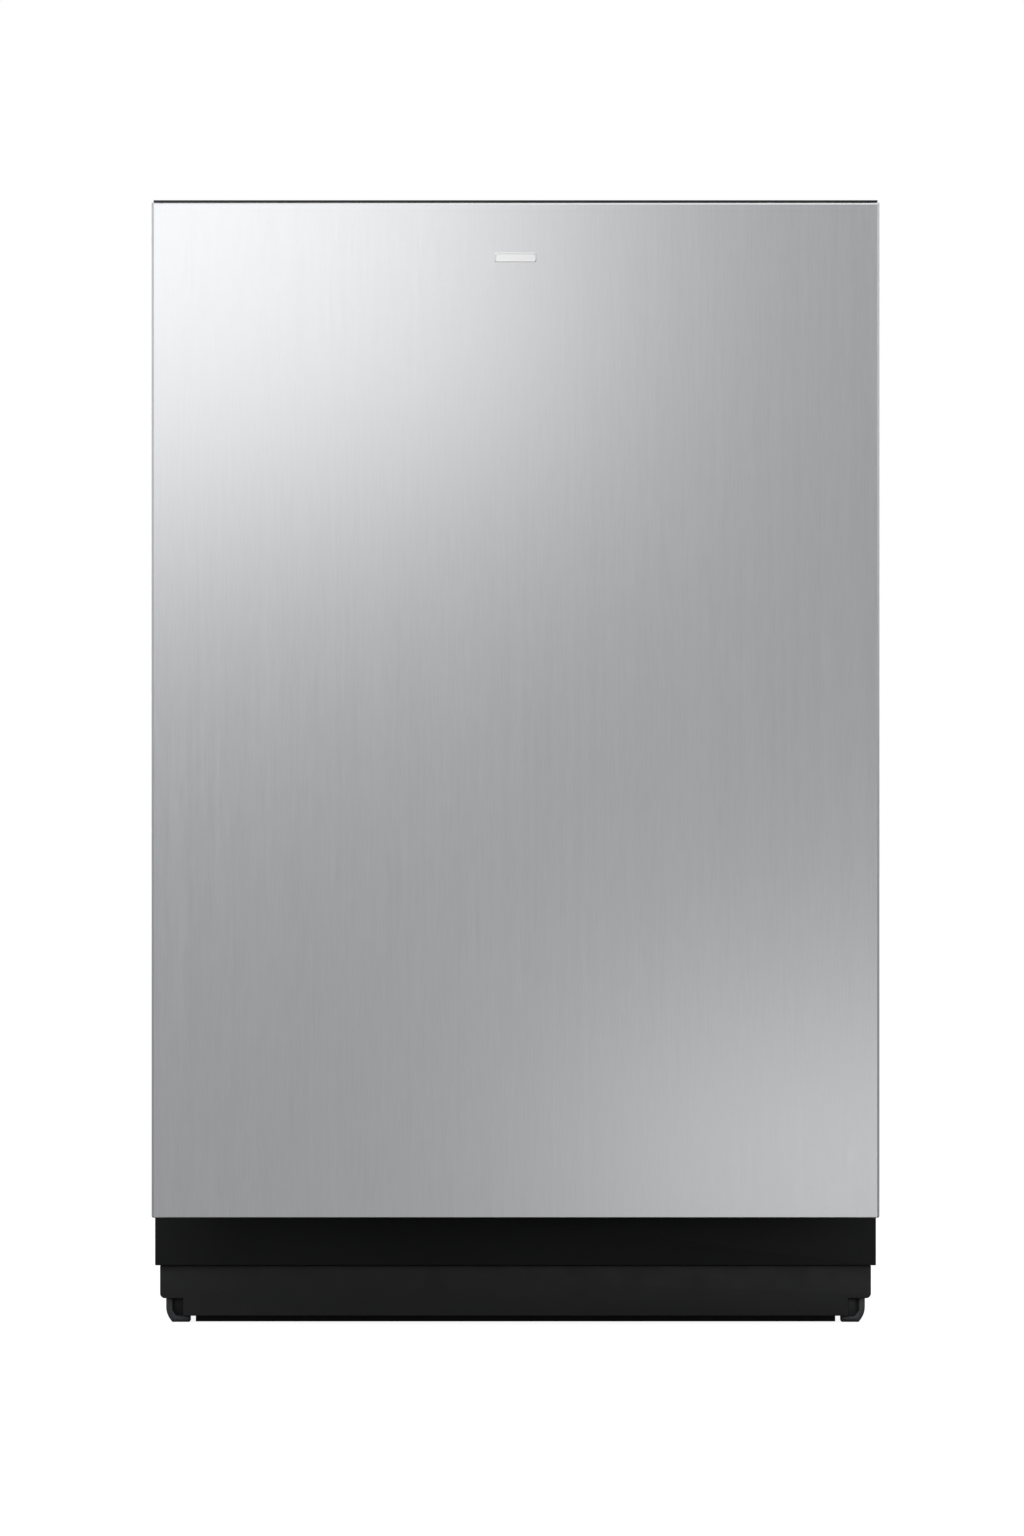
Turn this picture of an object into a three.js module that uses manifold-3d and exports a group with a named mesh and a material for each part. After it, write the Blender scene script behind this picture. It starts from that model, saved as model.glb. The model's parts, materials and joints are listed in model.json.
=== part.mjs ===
// A 60 cm built-in dishwasher with a full-height steel door and hidden top controls.
// Millimetres, +Z up, front facing -Y. The origin is the centre of the footprint at floor level.
// Everything is drawn at rest: door closed, racks home, detergent lid shut.
import * as THREE from 'three';
import { mergeVertices } from 'three/addons/utils/BufferGeometryUtils.js';
import Module from 'manifold-3d';

const wasm = await Module();
wasm.setup();

// ---- driving dimensions ----
const WIDTH = 598;
const DEPTH = 590;
const HEIGHT = 924;
const GAP = 0.3; // clearance between neighbouring pieces
const SHEET = 1.2; // sheet metal
const SHELL = 2.5; // moulded plastic walls
const WIRE = 4; // rack wire, drawn square

const FRONT = -DEPTH / 2;
const BACK = DEPTH / 2;
const HALF_WIDTH = WIDTH / 2;

// Door: a steel pan outside, a liner pan inside, and a control strip along the top edge.
const DOOR_BOTTOM = 88;
const DOOR_FACE = FRONT + 1;
const DOOR_CORNER = 2;
const BADGE = { half: 17, z0: 873.3, z1: 880.7, corner: 1.2 };
const PAN_BACK = -275;
const PAN_TOP = HEIGHT - 1.6;
const LINER_HALF = 290;
const LINER_BACK = -245;
const LINER_BOTTOM = 140;
const LINER_TOP = 903;
const STRIP_HALF = 297.5;
const STRIP_FRONT = -293;
const STRIP_BOTTOM = LINER_TOP + GAP;
const STRIP_HOLLOW = { half: 290, y0: -272, y1: -248, skin: 3.5 };
const BUTTON = { x: 232, y: -260, radius: 4.6, bottom: 910, recess: 0.2 };
const LENS = { x0: 60, x1: 180, y0: -266, y1: -254, thick: 0.7 };
const LATCH = { half: 18, y0: -271.5, y1: -248.3, z0: 904, z1: 917 };
const LATCH_MOUTH = { half: 12, y0: -269, z0: 904.9, z1: 911.5, slotHalf: 14, slotTop: 913 };
const INSULATION = { half: 280, z0: 165, z1: 885 };

// The hinge line. Open, the liner lies level with the tub's wheel tracks.
const PIVOT_Y = -262;
const TRACK_TOP = 165;
const PIVOT_Z = TRACK_TOP - (LINER_BACK - PIVOT_Y);
const HINGE_NOSE = 11;
const HINGE_ARM = { half: 9, thick: 2, top: 420 };
const HINGE_PLATE = { thick: 2.4, back: -150, footInside: 279 };
const PIN_RADIUS = 4;
const PIN_CLEARANCE = 0.4;

// Open, the pan's lower edge swings in to 2 mm short of SWEEP_BACK and up to 2 mm below SWEEP_TOP.
const SWEEP_BACK = -200;
const SWEEP_TOP = 137;

// Detergent dispenser in the liner: cup on the left, rinse-aid port on the right.
const DISPENSER = { x0: -50, x1: 115, z0: 530, z1: 680, back: -280, rim: 5 };
const DISPENSER_FACE = LINER_BACK + 1.5;
const CUP = { x0: -40, x1: 40, z0: 540, z1: 596, back: -272 };
const LID = { lap: 4, corner: 4, thick: 2, gripHalf: 14, gripHeight: 4, gripRise: 0.8 };
const RINSE_PORT = { x: 80, z: 570, radius: 16.5, back: -262 };
const RINSE_CAP = { back: -258, rise: 1.5, gripHalf: 12, gripThick: 4, gripRise: 1.5 };
const VENT = { x: -160, z: 600, radius: 32, lip: 8, thick: 3 };
const VENT_SLOTS = { half: 16, height: 5, offsets: [-12, 0, 12] };

// Tub: a welded stainless shell on a moulded floor.
const TUB_HALF = 275;
const TUB_TOP = 880;
const TUB_FRONT = -240;
const TUB_BACK = 262;
const TUB_FLOOR = 141;
const TUB_FLOOR_THICK = 3;
const TUB_WALL = 1.5;
const FLANGE_HALF = 291;
const FLANGE_TOP = 897;
const TRACK_INSIDE = 235;
const GASKET = { outer: 289, outerTop: 895, inner: 278, innerTop: 884, foot: TRACK_TOP + 5 };

// Cabinet around the tub.
const CABINET_HALF = 297.5;
const CABINET_TOP = 918;
const CABINET_BOTTOM = 47;
const CABINET_REAR = 284;
const SIDE_SHEET = 1.3;
const COVER_SHEET = 1.5;
const CROSS_BAR = { half: 294, y0: TUB_FRONT + 2, y1: -205, wall: 2 };
const STRIKER = { half: 16, z0: 901, z1: 914, tongueHalf: 9, tongueFront: -264, tongueZ: [906, 910] };
const REAR_PANEL = { half: 295, bayHalf: 200, bayTop: 115 };

// Base, kick panels and feet.
const TRAY = { half: 287, front: -187, back: 280, bottom: 21.9, top: 120, wall: 3, corner: 12, bayFoot: 55 };
const ACCESS = { front: SWEEP_BACK, back: SWEEP_BACK + 10, top: 119 };
const TOE = { front: -193, half: 293.5, top: 46.7, corner: 4, tongueHalf: 274.5, tongueBottom: 5.2 };
const STRIP_FLOOR_GAP = 0.6;
const SEAL_STRIP_HALF = 264;
const FOOT = { inner: 268.5, wallInner: 282.8, outer: 288.6, pad: 5.5, length: 36, corner: 5, web: 4 };
const FOOT_CENTRES_Y = { front: -168, rear: 250 };

// Wash system, on a vertical axis through the middle of the tub.
const ARM_Y = 12;
const SUMP = { x0: -60, x1: 125, y0: -75, y1: 50, bottom: 72, corner: 20 };
const FINE_FILTER = { lap: 15, corner: 30, thick: 1.5 };
const FILTER = { x: 75, y: -20, radius: 36, wall: 3, bottom: 82, rim: 5, rimThick: 3, gripRise: 16 };
const ARM_POST = 12;
const LOWER_ARM = { z: 190, thick: 11, reach: 224, hub: 26 };
const UPPER_ARM = { z: 490, thick: 10, reach: 205, hub: 22 };
const TOP_ARM = { z: 839, thick: 8, reach: 120, hub: 16 };
const ARM_PIN = 4.5;
const RISER = { half: 20, front: 246, top: 872, duct: 14, ductHeight: 160, outlet: 9 };
const FLOAT = { x: -205, y: -165, foot: 112, stem: 4 };
const PUMP = { x0: -15, x1: 158, y: 150, z: 80, radius: 40, nose: 30, motor: 46, motorStart: 110, motorEnd: 142 };
const PUMP_FOOT = { x0: 10, x1: 100, y0: 120, y1: 180, top: 45 };
const DRAIN = { x: -70, z: 70, radius: 26, front: 170, back: 235, spout: 11, bore: 8 };
const VALVE = { x0: -175, x1: -130, y0: 225, y1: 272, top: 105 };
const VALVE_PORT = { x: -152, z: 85, radius: 13, bore: 9 };
const INLET = { x0: 60, x1: 130, y0: 245, z0: 60, z1: 105 };
const INLET_SOCKET = { x: [78, 112], z: [70, 95], depth: 18 };

// Racks. The lower one rolls on four wheels, the others run in side rails.
const RACK_FRONT = -225;
const LOWER_RACK = { half: 234, y0: RACK_FRONT, y1: 230, z0: 215, z1: 400 };
const UPPER_RACK = { half: 240, y0: RACK_FRONT, y1: 215, z0: 520, z1: 690 };
const CUTLERY_TRAY = { half: 250, y0: RACK_FRONT, y1: 225, z0: 772, z1: 812 };
const WHEEL = { radius: 18, x0: 241, x1: 255, bore: 3.4, axle: 3 };
const WHEEL_CENTRES_Y = { front: -150, rear: 150 };
const WHEEL_BLOCK = { inner: 229, outer: 234, halfLength: 8, drop: 7 };
const RACK_PIPE = { half: 11, back: 231.7, collar: 10 };
const RACK_BRACKET = { reach: 256.5, halfLength: 150, z: [608, 620] };
const HANDLE = { half: 70, height: 22, thick: 3.5, corner: 8 };
const CUTLERY_SLOTS = { columns: [-190, 190, 5], rows: [-105, 105], halfX: 30, halfY: 80 };
const CUTLERY_WING = { reach: 262, z: [789, 793] };
const RACK_RAIL = { inside: 262, z0: 600, z1: 628 };
const TRAY_RAIL = { inside: 253, z0: 783, z1: 799 };

// ---- materials ----
function finish(colour, roughness, metalness) {
  return new THREE.MeshStandardMaterial({ color: colour, roughness, metalness });
}
const brushedSteel = () => finish(0xbfc1c4, 0.35, 1);
const tubSteel = () => finish(0xc9cbcd, 0.25, 1);
const zincSteel = () => finish(0x9a9d9f, 0.5, 0.9);
const blackPaint = () => finish(0x26272a, 0.55, 0.2);
const blackPlastic = () => finish(0x1d1e20, 0.6, 0);
const greyPlastic = () => finish(0x9fa3a6, 0.5, 0);
const darkGreyPlastic = () => finish(0x4a4d50, 0.55, 0);
const whitePlastic = () => finish(0xe6e7e6, 0.45, 0);
const rubber = () => finish(0x2b2c2e, 0.85, 0);
const coatedWire = () => finish(0x8d9296, 0.4, 0.1);
const felt = () => finish(0x55524c, 0.95, 0);
const smokedGlass = () => finish(0x0c0d10, 0.1, 0);

// ---- solids ----
function solid(geometry) {
  const bare = geometry.clone();
  bare.deleteAttribute('normal');
  bare.deleteAttribute('uv');
  const merged = mergeVertices(bare, 1e-4);
  return new wasm.Manifold(new wasm.Mesh({
    numProp: 3,
    vertProperties: new Float32Array(merged.attributes.position.array),
    triVerts: new Uint32Array(merged.index.array),
  }));
}

// A box between two values on each axis, in either order.
function box(xs, ys, zs) {
  const size = [xs, ys, zs].map(([a, b]) => Math.abs(b - a));
  const middle = [xs, ys, zs].map(([a, b]) => (a + b) / 2);
  return solid(new THREE.BoxGeometry(...size).translate(...middle));
}

const AXIS_TURNS = {
  x: (geometry) => geometry.rotateZ(-Math.PI / 2),
  y: (geometry) => geometry,
  z: (geometry) => geometry.rotateX(Math.PI / 2),
};

// A cylinder along an axis, from one value to another on it, centred on the two other coordinates.
function cylinder(axis, radius, [from, to], [a, b], sides = 24) {
  const geometry = AXIS_TURNS[axis](new THREE.CylinderGeometry(radius, radius, Math.abs(to - from), sides));
  const middle = (from + to) / 2;
  const place = { x: [middle, a, b], y: [a, middle, b], z: [a, b, middle] }[axis];
  return solid(geometry.translate(...place));
}

const EXTRUDE_BASES = {
  x: [new THREE.Vector3(0, 1, 0), new THREE.Vector3(0, 0, 1), new THREE.Vector3(1, 0, 0)],
  y: [new THREE.Vector3(1, 0, 0), new THREE.Vector3(0, 0, 1), new THREE.Vector3(0, -1, 0)],
  z: [new THREE.Vector3(1, 0, 0), new THREE.Vector3(0, 1, 0), new THREE.Vector3(0, 0, 1)],
};

// A flat outline pushed along an axis. Outlines are drawn in (y, z), (x, z) or (x, y).
function extrude(axis, outline, [from, to], curveSegments = 4) {
  const options = { depth: to - from, bevelEnabled: false, curveSegments };
  const geometry = new THREE.ExtrudeGeometry(outline, options);
  geometry.applyMatrix4(new THREE.Matrix4().makeBasis(...EXTRUDE_BASES[axis]));
  const start = { x: [from, 0, 0], y: [0, to, 0], z: [0, 0, from] }[axis];
  return solid(geometry.translate(...start));
}

function polygon(points) {
  return new THREE.Shape(points.map(([u, v]) => new THREE.Vector2(u, v)));
}

function roundedRectangle([u0, u1], [v0, v1], radius) {
  const shape = new THREE.Shape();
  const quarter = Math.PI / 2;
  shape.moveTo(u0 + radius, v0);
  shape.absarc(u1 - radius, v0 + radius, radius, -quarter, 0, false);
  shape.absarc(u1 - radius, v1 - radius, radius, 0, quarter, false);
  shape.absarc(u0 + radius, v1 - radius, radius, quarter, 2 * quarter, false);
  shape.absarc(u0 + radius, v0 + radius, radius, 2 * quarter, 3 * quarter, false);
  return shape;
}

const join = (first, ...others) => others.reduce((whole, piece) => whole.add(piece), first);
const cut = (first, ...tools) => tools.reduce((whole, tool) => whole.subtract(tool), first);

// ---- the scene graph ----
const dishwasher = new THREE.Group();
const SIDES = [['left', -1], ['right', 1]];

function add(name, shape, material, position = [0, 0, 0]) {
  const data = shape.getMesh();
  const geometry = new THREE.BufferGeometry();
  geometry.setAttribute('position', new THREE.BufferAttribute(new Float32Array(data.vertProperties), 3));
  geometry.setIndex(new THREE.BufferAttribute(new Uint32Array(data.triVerts), 1));
  geometry.computeVertexNormals();
  const mesh = new THREE.Mesh(geometry, material);
  mesh.name = name;
  mesh.position.set(...position);
  dishwasher.add(mesh);
}

// ---- door ----
function doorOuterPanel() {
  const outline = roundedRectangle([-HALF_WIDTH, HALF_WIDTH], [DOOR_BOTTOM, PAN_TOP], DOOR_CORNER);
  const inside = HALF_WIDTH - SHEET;
  return cut(
    extrude('y', outline, [DOOR_FACE, PAN_BACK]),
    box([-inside, inside], [DOOR_FACE + SHEET, PAN_BACK + 1], [DOOR_BOTTOM + SHEET, PAN_TOP - SHEET]),
  );
}

function doorBadge() {
  const outline = roundedRectangle([-BADGE.half, BADGE.half], [BADGE.z0, BADGE.z1], BADGE.corner);
  return extrude('y', outline, [FRONT, DOOR_FACE - GAP]);
}

function controlStrip() {
  const back = LINER_BACK - 0.5;
  const section = polygon([
    [STRIP_FRONT, PAN_TOP + GAP], [PAN_BACK + GAP, PAN_TOP + GAP], [PAN_BACK + GAP, STRIP_BOTTOM],
    [back, STRIP_BOTTOM], [back, HEIGHT], [STRIP_FRONT, HEIGHT],
  ]);
  const { half, y0, y1, skin } = STRIP_HOLLOW;
  const { slotHalf, z0: slotBottom, slotTop } = LATCH_MOUTH;
  const lensSeat = HEIGHT - LENS.thick - GAP;
  return cut(
    extrude('x', section, [-STRIP_HALF, STRIP_HALF]),
    box([-half, half], [y0, y1], [STRIP_BOTTOM - 1, HEIGHT - skin]),
    box([-slotHalf, slotHalf], [y1 - 1, LINER_BACK], [slotBottom - 0.4, slotTop]),
    cylinder('z', BUTTON.radius + GAP, [HEIGHT - skin - 1, HEIGHT + 1], [BUTTON.x, BUTTON.y]),
    box([LENS.x0 - GAP, LENS.x1 + GAP], [LENS.y0 - GAP, LENS.y1 + GAP], [lensSeat, HEIGHT + 1]),
  );
}

function doorLatch() {
  const { half, y0, y1, z0, z1 } = LATCH;
  const mouth = LATCH_MOUTH;
  return cut(
    box([-half, half], [y0, y1], [z0, z1]),
    box([-mouth.half, mouth.half], [mouth.y0, y1 + 1], [mouth.z0, mouth.z1]),
  );
}

function doorLiner() {
  const outline = roundedRectangle([-LINER_HALF, LINER_HALF], [LINER_BOTTOM, LINER_TOP], 8);
  const inside = LINER_HALF - SHEET;
  const front = PAN_BACK + GAP;
  return cut(
    extrude('y', outline, [front, LINER_BACK]),
    box([-inside, inside], [front - 1, LINER_BACK - SHEET], [LINER_BOTTOM + SHEET, LINER_TOP - SHEET]),
    box(
      [DISPENSER.x0 - GAP, DISPENSER.x1 + GAP], [LINER_BACK - 2, LINER_BACK + 1],
      [DISPENSER.z0 - GAP, DISPENSER.z1 + GAP],
    ),
    cylinder('y', VENT.radius - VENT.lip, [LINER_BACK - 2, LINER_BACK + 1], [VENT.x, VENT.z]),
  );
}

// A felt and bitumen pad behind the outer panel.
function doorInsulation() {
  const { half, z0, z1 } = INSULATION;
  return box([-half, half], [DOOR_FACE + SHEET + 1, DISPENSER.back - GAP], [z0, z1]);
}

function dispenserHousing() {
  const { x0, x1, z0, z1, back, rim } = DISPENSER;
  return cut(
    join(
      box([x0, x1], [back, DISPENSER_FACE], [z0, z1]),
      box([x0 - rim, x1 + rim], [LINER_BACK + GAP, DISPENSER_FACE], [z0 - rim, z1 + rim]),
    ),
    box([CUP.x0, CUP.x1], [CUP.back, DISPENSER_FACE + 1], [CUP.z0, CUP.z1]),
    cylinder('y', RINSE_PORT.radius, [RINSE_PORT.back, DISPENSER_FACE + 1], [RINSE_PORT.x, RINSE_PORT.z]),
  );
}

function dispenserLid() {
  const { lap, corner, thick, gripHalf, gripHeight, gripRise } = LID;
  const outline = roundedRectangle([CUP.x0 - lap, CUP.x1 + lap], [CUP.z0 - lap, CUP.z1 + lap], corner);
  const face = DISPENSER_FACE + GAP;
  return join(
    extrude('y', outline, [face, face + thick]),
    box([-gripHalf, gripHalf], [face + 1, face + thick + gripRise], [CUP.z0, CUP.z0 + gripHeight]),
  );
}

function rinseAidCap() {
  const { x, z, radius } = RINSE_PORT;
  const { back, rise, gripHalf, gripThick, gripRise } = RINSE_CAP;
  return join(
    cylinder('y', radius - GAP, [back, DISPENSER_FACE + rise], [x, z]),
    box(
      [x - gripHalf, x + gripHalf], [DISPENSER_FACE, DISPENSER_FACE + rise + gripRise],
      [z - gripThick / 2, z + gripThick / 2],
    ),
  );
}

function ventCover() {
  const { x, z, radius, thick } = VENT;
  const { half, height, offsets } = VENT_SLOTS;
  const disc = cylinder('y', radius, [LINER_BACK + GAP, LINER_BACK + thick], [x, z], 32);
  const slots = offsets.map((offset) => box(
    [x - half, x + half], [LINER_BACK, LINER_BACK + thick + 1],
    [z + offset - height / 2, z + offset + height / 2],
  ));
  return cut(disc, ...slots);
}

// Each hinge is a flat arm on the door, just outside the liner, with a pin through the bracket beside it.
const ARM_INSIDE = LINER_HALF + 0.5;
const BRACKET_INSIDE = ARM_INSIDE + HINGE_ARM.thick + GAP;
const BRACKET_OUTSIDE = BRACKET_INSIDE + HINGE_PLATE.thick;

function hingeArm(side) {
  const { half, thick, top } = HINGE_ARM;
  const xs = [side * ARM_INSIDE, side * (ARM_INSIDE + thick)];
  const pinEnd = [side * (ARM_INSIDE + 0.5), side * BRACKET_OUTSIDE];
  return join(
    cylinder('x', HINGE_NOSE, xs, [PIVOT_Y, PIVOT_Z]),
    box(xs, [PIVOT_Y - half, PIVOT_Y + half], [PIVOT_Z, top]),
    cylinder('x', PIN_RADIUS, pinEnd, [PIVOT_Y, PIVOT_Z]),
  );
}

// ---- cabinet and tub ----
function hingeBracket(side) {
  const { thick, back, footInside } = HINGE_PLATE;
  const front = SWEEP_BACK + 2;
  const bottom = TRAY.top + GAP;
  const xs = [side * BRACKET_INSIDE, side * BRACKET_OUTSIDE];
  return cut(
    join(
      cylinder('x', HINGE_NOSE, xs, [PIVOT_Y, PIVOT_Z]),
      box(xs, [PIVOT_Y, back], [PIVOT_Z - HINGE_NOSE, PIVOT_Z + HINGE_NOSE]),
      box(xs, [front, back], [bottom, PIVOT_Z]),
      box([side * footInside, side * BRACKET_OUTSIDE], [front, back], [bottom, bottom + thick]),
    ),
    cylinder('x', PIN_RADIUS + PIN_CLEARANCE, [side * LINER_HALF, side * HALF_WIDTH], [PIVOT_Y, PIVOT_Z]),
  );
}

// An upside-down U outline in (x, z), from an outer to an inner line, standing on the given height.
function arch(outerHalf, outerTop, innerHalf, innerTop, foot) {
  return polygon([
    [-outerHalf, foot], [-innerHalf, foot], [-innerHalf, innerTop], [innerHalf, innerTop],
    [innerHalf, foot], [outerHalf, foot], [outerHalf, outerTop], [-outerHalf, outerTop],
  ]);
}

function tubShell() {
  const wall = TUB_WALL;
  const foot = TRACK_TOP + GAP;
  const outerHalf = TUB_HALF + wall;
  const outerTop = TUB_TOP + wall;
  return join(
    extrude('y', arch(outerHalf, outerTop, TUB_HALF, TUB_TOP, foot), [TUB_FRONT, TUB_BACK + wall]),
    extrude('y', arch(FLANGE_HALF, FLANGE_TOP, TUB_HALF, TUB_TOP, foot), [TUB_FRONT, TUB_FRONT + wall]),
    box([-outerHalf, outerHalf], [TUB_BACK, TUB_BACK + wall], [foot, outerTop]),
  );
}

function tubGasket() {
  const { outer, outerTop, inner, innerTop, foot } = GASKET;
  return extrude('y', arch(outer, outerTop, inner, innerTop, foot), [LINER_BACK + GAP, TUB_FRONT - GAP]);
}

function tubFloor() {
  const half = TUB_HALF + 2;
  const bottom = TUB_FLOOR - TUB_FLOOR_THICK;
  const wall = 3;
  return cut(
    box([-half, half], [TUB_FRONT, TUB_BACK + 3], [bottom, TRACK_TOP]),
    box([-TRACK_INSIDE, TRACK_INSIDE], [TUB_FRONT + wall, TUB_BACK], [TUB_FLOOR, TRACK_TOP + 1]),
    extrude('z', roundedRectangle(
      [SUMP.x0 + SHELL, SUMP.x1 - SHELL], [SUMP.y0 + SHELL, SUMP.y1 - SHELL], SUMP.corner,
    ), [bottom - 1, TUB_FLOOR + 1]),
    cylinder('z', FLOAT.stem + 0.4, [bottom - 1, TUB_FLOOR + 1], [FLOAT.x, FLOAT.y]),
  );
}

function sidePanel(side) {
  const outline = polygon([
    [TUB_FRONT, SWEEP_TOP], [ACCESS.back + 1, SWEEP_TOP], [ACCESS.back + 1, CABINET_BOTTOM],
    [CABINET_REAR - GAP, CABINET_BOTTOM],
    [CABINET_REAR - GAP, CABINET_TOP - COVER_SHEET - GAP], [TUB_FRONT, CABINET_TOP - COVER_SHEET - GAP],
  ]);
  const xs = [side * CABINET_HALF, side * (CABINET_HALF - SIDE_SHEET)].sort((a, b) => a - b);
  return extrude('x', outline, xs);
}

// The top cover carries the front cross bar that ties the two sides together.
function topCover() {
  const { half, y0, y1, wall } = CROSS_BAR;
  const under = CABINET_TOP - COVER_SHEET;
  const barBottom = FLANGE_TOP + 1;
  return cut(
    join(
      box([-CABINET_HALF, CABINET_HALF], [TUB_FRONT, CABINET_REAR - GAP], [under, CABINET_TOP]),
      box([-half, half], [y0, y1], [barBottom, under]),
    ),
    box([-half + wall, half - wall], [y0 + wall, y1 + 1], [barBottom + wall, under]),
  );
}

function latchStriker() {
  const { half, z0, z1, tongueHalf, tongueFront, tongueZ } = STRIKER;
  const plateBack = CROSS_BAR.y0 - GAP;
  return join(
    box([-half, half], [plateBack - 2, plateBack], [z0, z1]),
    box([-tongueHalf, tongueHalf], [tongueFront, plateBack - 1], tongueZ),
  );
}

function rearPanel() {
  const { half, bayHalf, bayTop } = REAR_PANEL;
  return cut(
    box([-half, half], [CABINET_REAR, CABINET_REAR + SHEET], [CABINET_BOTTOM, CABINET_TOP]),
    box([-bayHalf, bayHalf], [CABINET_REAR - 1, CABINET_REAR + SHEET + 1], [CABINET_BOTTOM - 1, bayTop]),
  );
}

function baseTray() {
  const { half, front, back, bottom, top, wall, corner, bayFoot } = TRAY;
  const { bayHalf } = REAR_PANEL;
  return cut(
    extrude('z', roundedRectangle([-half, half], [front, back], corner), [bottom, top]),
    extrude('z', roundedRectangle(
      [-half + wall, half - wall], [front + wall, back - wall], corner - wall,
    ), [bottom + wall, top + 1]),
    box([-bayHalf, bayHalf], [back - wall - 1, back + 1], [bayFoot, top + 1]),
  );
}

function accessPanel() {
  const half = CABINET_HALF;
  return cut(
    box([-half, half], [ACCESS.front, ACCESS.back], [CABINET_BOTTOM, ACCESS.top]),
    box(
      [-half + SHELL, half - SHELL], [ACCESS.front + SHELL, ACCESS.back + 1],
      [CABINET_BOTTOM + SHELL, ACCESS.top - SHELL],
    ),
  );
}

function toePanel() {
  const { front, half, top, corner, tongueHalf, tongueBottom } = TOE;
  const back = front + SHELL;
  const middle = (TRAY.bottom + top) / 2;
  return join(
    extrude('y', roundedRectangle([-half, half], [TRAY.bottom, top], corner), [front, back]),
    box([-half, half], [front, back], [middle, top]),
    box([-tongueHalf, tongueHalf], [front + 0.6, back], [tongueBottom, middle]),
  );
}

function kickSealStrip() {
  const front = TOE.front + 1;
  return box(
    [-SEAL_STRIP_HALF, SEAL_STRIP_HALF], [front, front + 1.5], [STRIP_FLOOR_GAP, TOE.tongueBottom - GAP],
  );
}

// A foot is a J in (x, z): a tall outer wall and a pad that turns inwards along the floor.
// A thin web fills the J at the middle of its depth.
function foot(side) {
  const { inner, wallInner, outer, pad, corner, length, web } = FOOT;
  const top = TRAY.bottom - GAP;
  const shape = new THREE.Shape();
  shape.moveTo(side * inner, 0);
  shape.lineTo(side * (outer - corner), 0);
  const turn = side > 0 ? [-Math.PI / 2, 0, false] : [-Math.PI / 2, -Math.PI, true];
  shape.absarc(side * (outer - corner), corner, corner, ...turn);
  shape.lineTo(side * outer, top);
  shape.lineTo(side * wallInner, top);
  shape.lineTo(side * wallInner, pad);
  shape.lineTo(side * inner, pad);
  return join(
    extrude('y', shape, [-length / 2, length / 2]),
    box([side * inner, side * (wallInner + 1)], [-web / 2, web / 2], [pad - 1, top]),
  );
}

// ---- wash system ----
function sump() {
  const { x0, x1, y0, y1, bottom, corner } = SUMP;
  const top = TUB_FLOOR - TUB_FLOOR_THICK - GAP;
  return cut(
    extrude('z', roundedRectangle([x0, x1], [y0, y1], corner), [bottom, top]),
    extrude('z', roundedRectangle(
      [x0 + SHELL, x1 - SHELL], [y0 + SHELL, y1 - SHELL], corner,
    ), [bottom + SHELL, top + 1]),
  );
}

function fineFilter() {
  const { lap, corner, thick } = FINE_FILTER;
  const outline = roundedRectangle([SUMP.x0 - lap, SUMP.x1 + lap], [SUMP.y0 - lap, SUMP.y1 + lap], corner);
  const zs = [TUB_FLOOR + GAP, TUB_FLOOR + GAP + thick];
  const through = [TUB_FLOOR, TUB_FLOOR + 3];
  return cut(
    extrude('z', outline, zs),
    cylinder('z', FILTER.radius + 1, through, [FILTER.x, FILTER.y], 32),
    cylinder('z', ARM_POST + 0.6, through, [0, ARM_Y]),
  );
}

function filterCylinder() {
  const { radius, wall, bottom, rim, rimThick, gripRise } = FILTER;
  const seat = TUB_FLOOR + FINE_FILTER.thick + 2 * GAP;
  return join(
    cut(
      cylinder('z', radius, [bottom, seat + 1], [0, 0], 32),
      cylinder('z', radius - wall, [bottom + wall, seat + 2], [0, 0], 32),
    ),
    cut(
      cylinder('z', radius + rim, [seat, seat + rimThick], [0, 0], 32),
      cylinder('z', radius - wall, [seat - 1, seat + rimThick + 1], [0, 0], 32),
    ),
    box([-radius, radius], [-wall, wall], [seat, seat + gripRise]),
  );
}

function lowerArmSupport() {
  const centre = [0, ARM_Y];
  return join(
    cylinder('z', ARM_POST, [SUMP.bottom + SHELL + GAP, LOWER_ARM.z - 4], centre),
    cylinder('z', ARM_PIN, [LOWER_ARM.z - 5, LOWER_ARM.z + LOWER_ARM.thick], centre),
  );
}

function feedPipe() {
  const { half, front, top, duct, ductHeight, outlet } = RISER;
  const back = TUB_BACK - GAP;
  const bottom = TUB_FLOOR + GAP;
  const centre = [0, ARM_Y];
  return join(
    box([-duct, duct], [SUMP.y1 + 18, back], [bottom, ductHeight]),
    box([-half, half], [front, back], [bottom, top]),
    box([-duct, duct], [ARM_Y - duct, back], [top - duct, top]),
    cylinder('z', outlet, [top - duct - 8, top - duct + 1], centre),
    cylinder('z', ARM_PIN, [TOP_ARM.z - 1, top - duct - 7], centre),
    cylinder('y', outlet, [RACK_PIPE.back + GAP, front + 1], [0, UPPER_ARM.z + 22]),
  );
}

// A spray arm is a flat blade, widest at its hub, on the vertical axis.
function sprayArm({ reach, hub, thick }) {
  const tip = hub * 0.55;
  const shape = new THREE.Shape();
  const quarter = Math.PI / 2;
  shape.moveTo(-reach + tip, -tip);
  shape.lineTo(-hub, -hub * 0.8);
  shape.lineTo(hub, -hub * 0.8);
  shape.lineTo(reach - tip, -tip);
  shape.absarc(reach - tip, 0, tip, -quarter, quarter, false);
  shape.lineTo(hub, hub * 0.8);
  shape.lineTo(-hub, hub * 0.8);
  shape.lineTo(-reach + tip, tip);
  shape.absarc(-reach + tip, 0, tip, quarter, 3 * quarter, false);
  return cut(
    join(
      extrude('z', shape, [0, thick]),
      cylinder('z', hub, [-2.5, thick], [0, 0], 32),
    ),
    cylinder('z', ARM_PIN + GAP, [-4, thick + 1], [0, 0]),
  );
}

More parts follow.
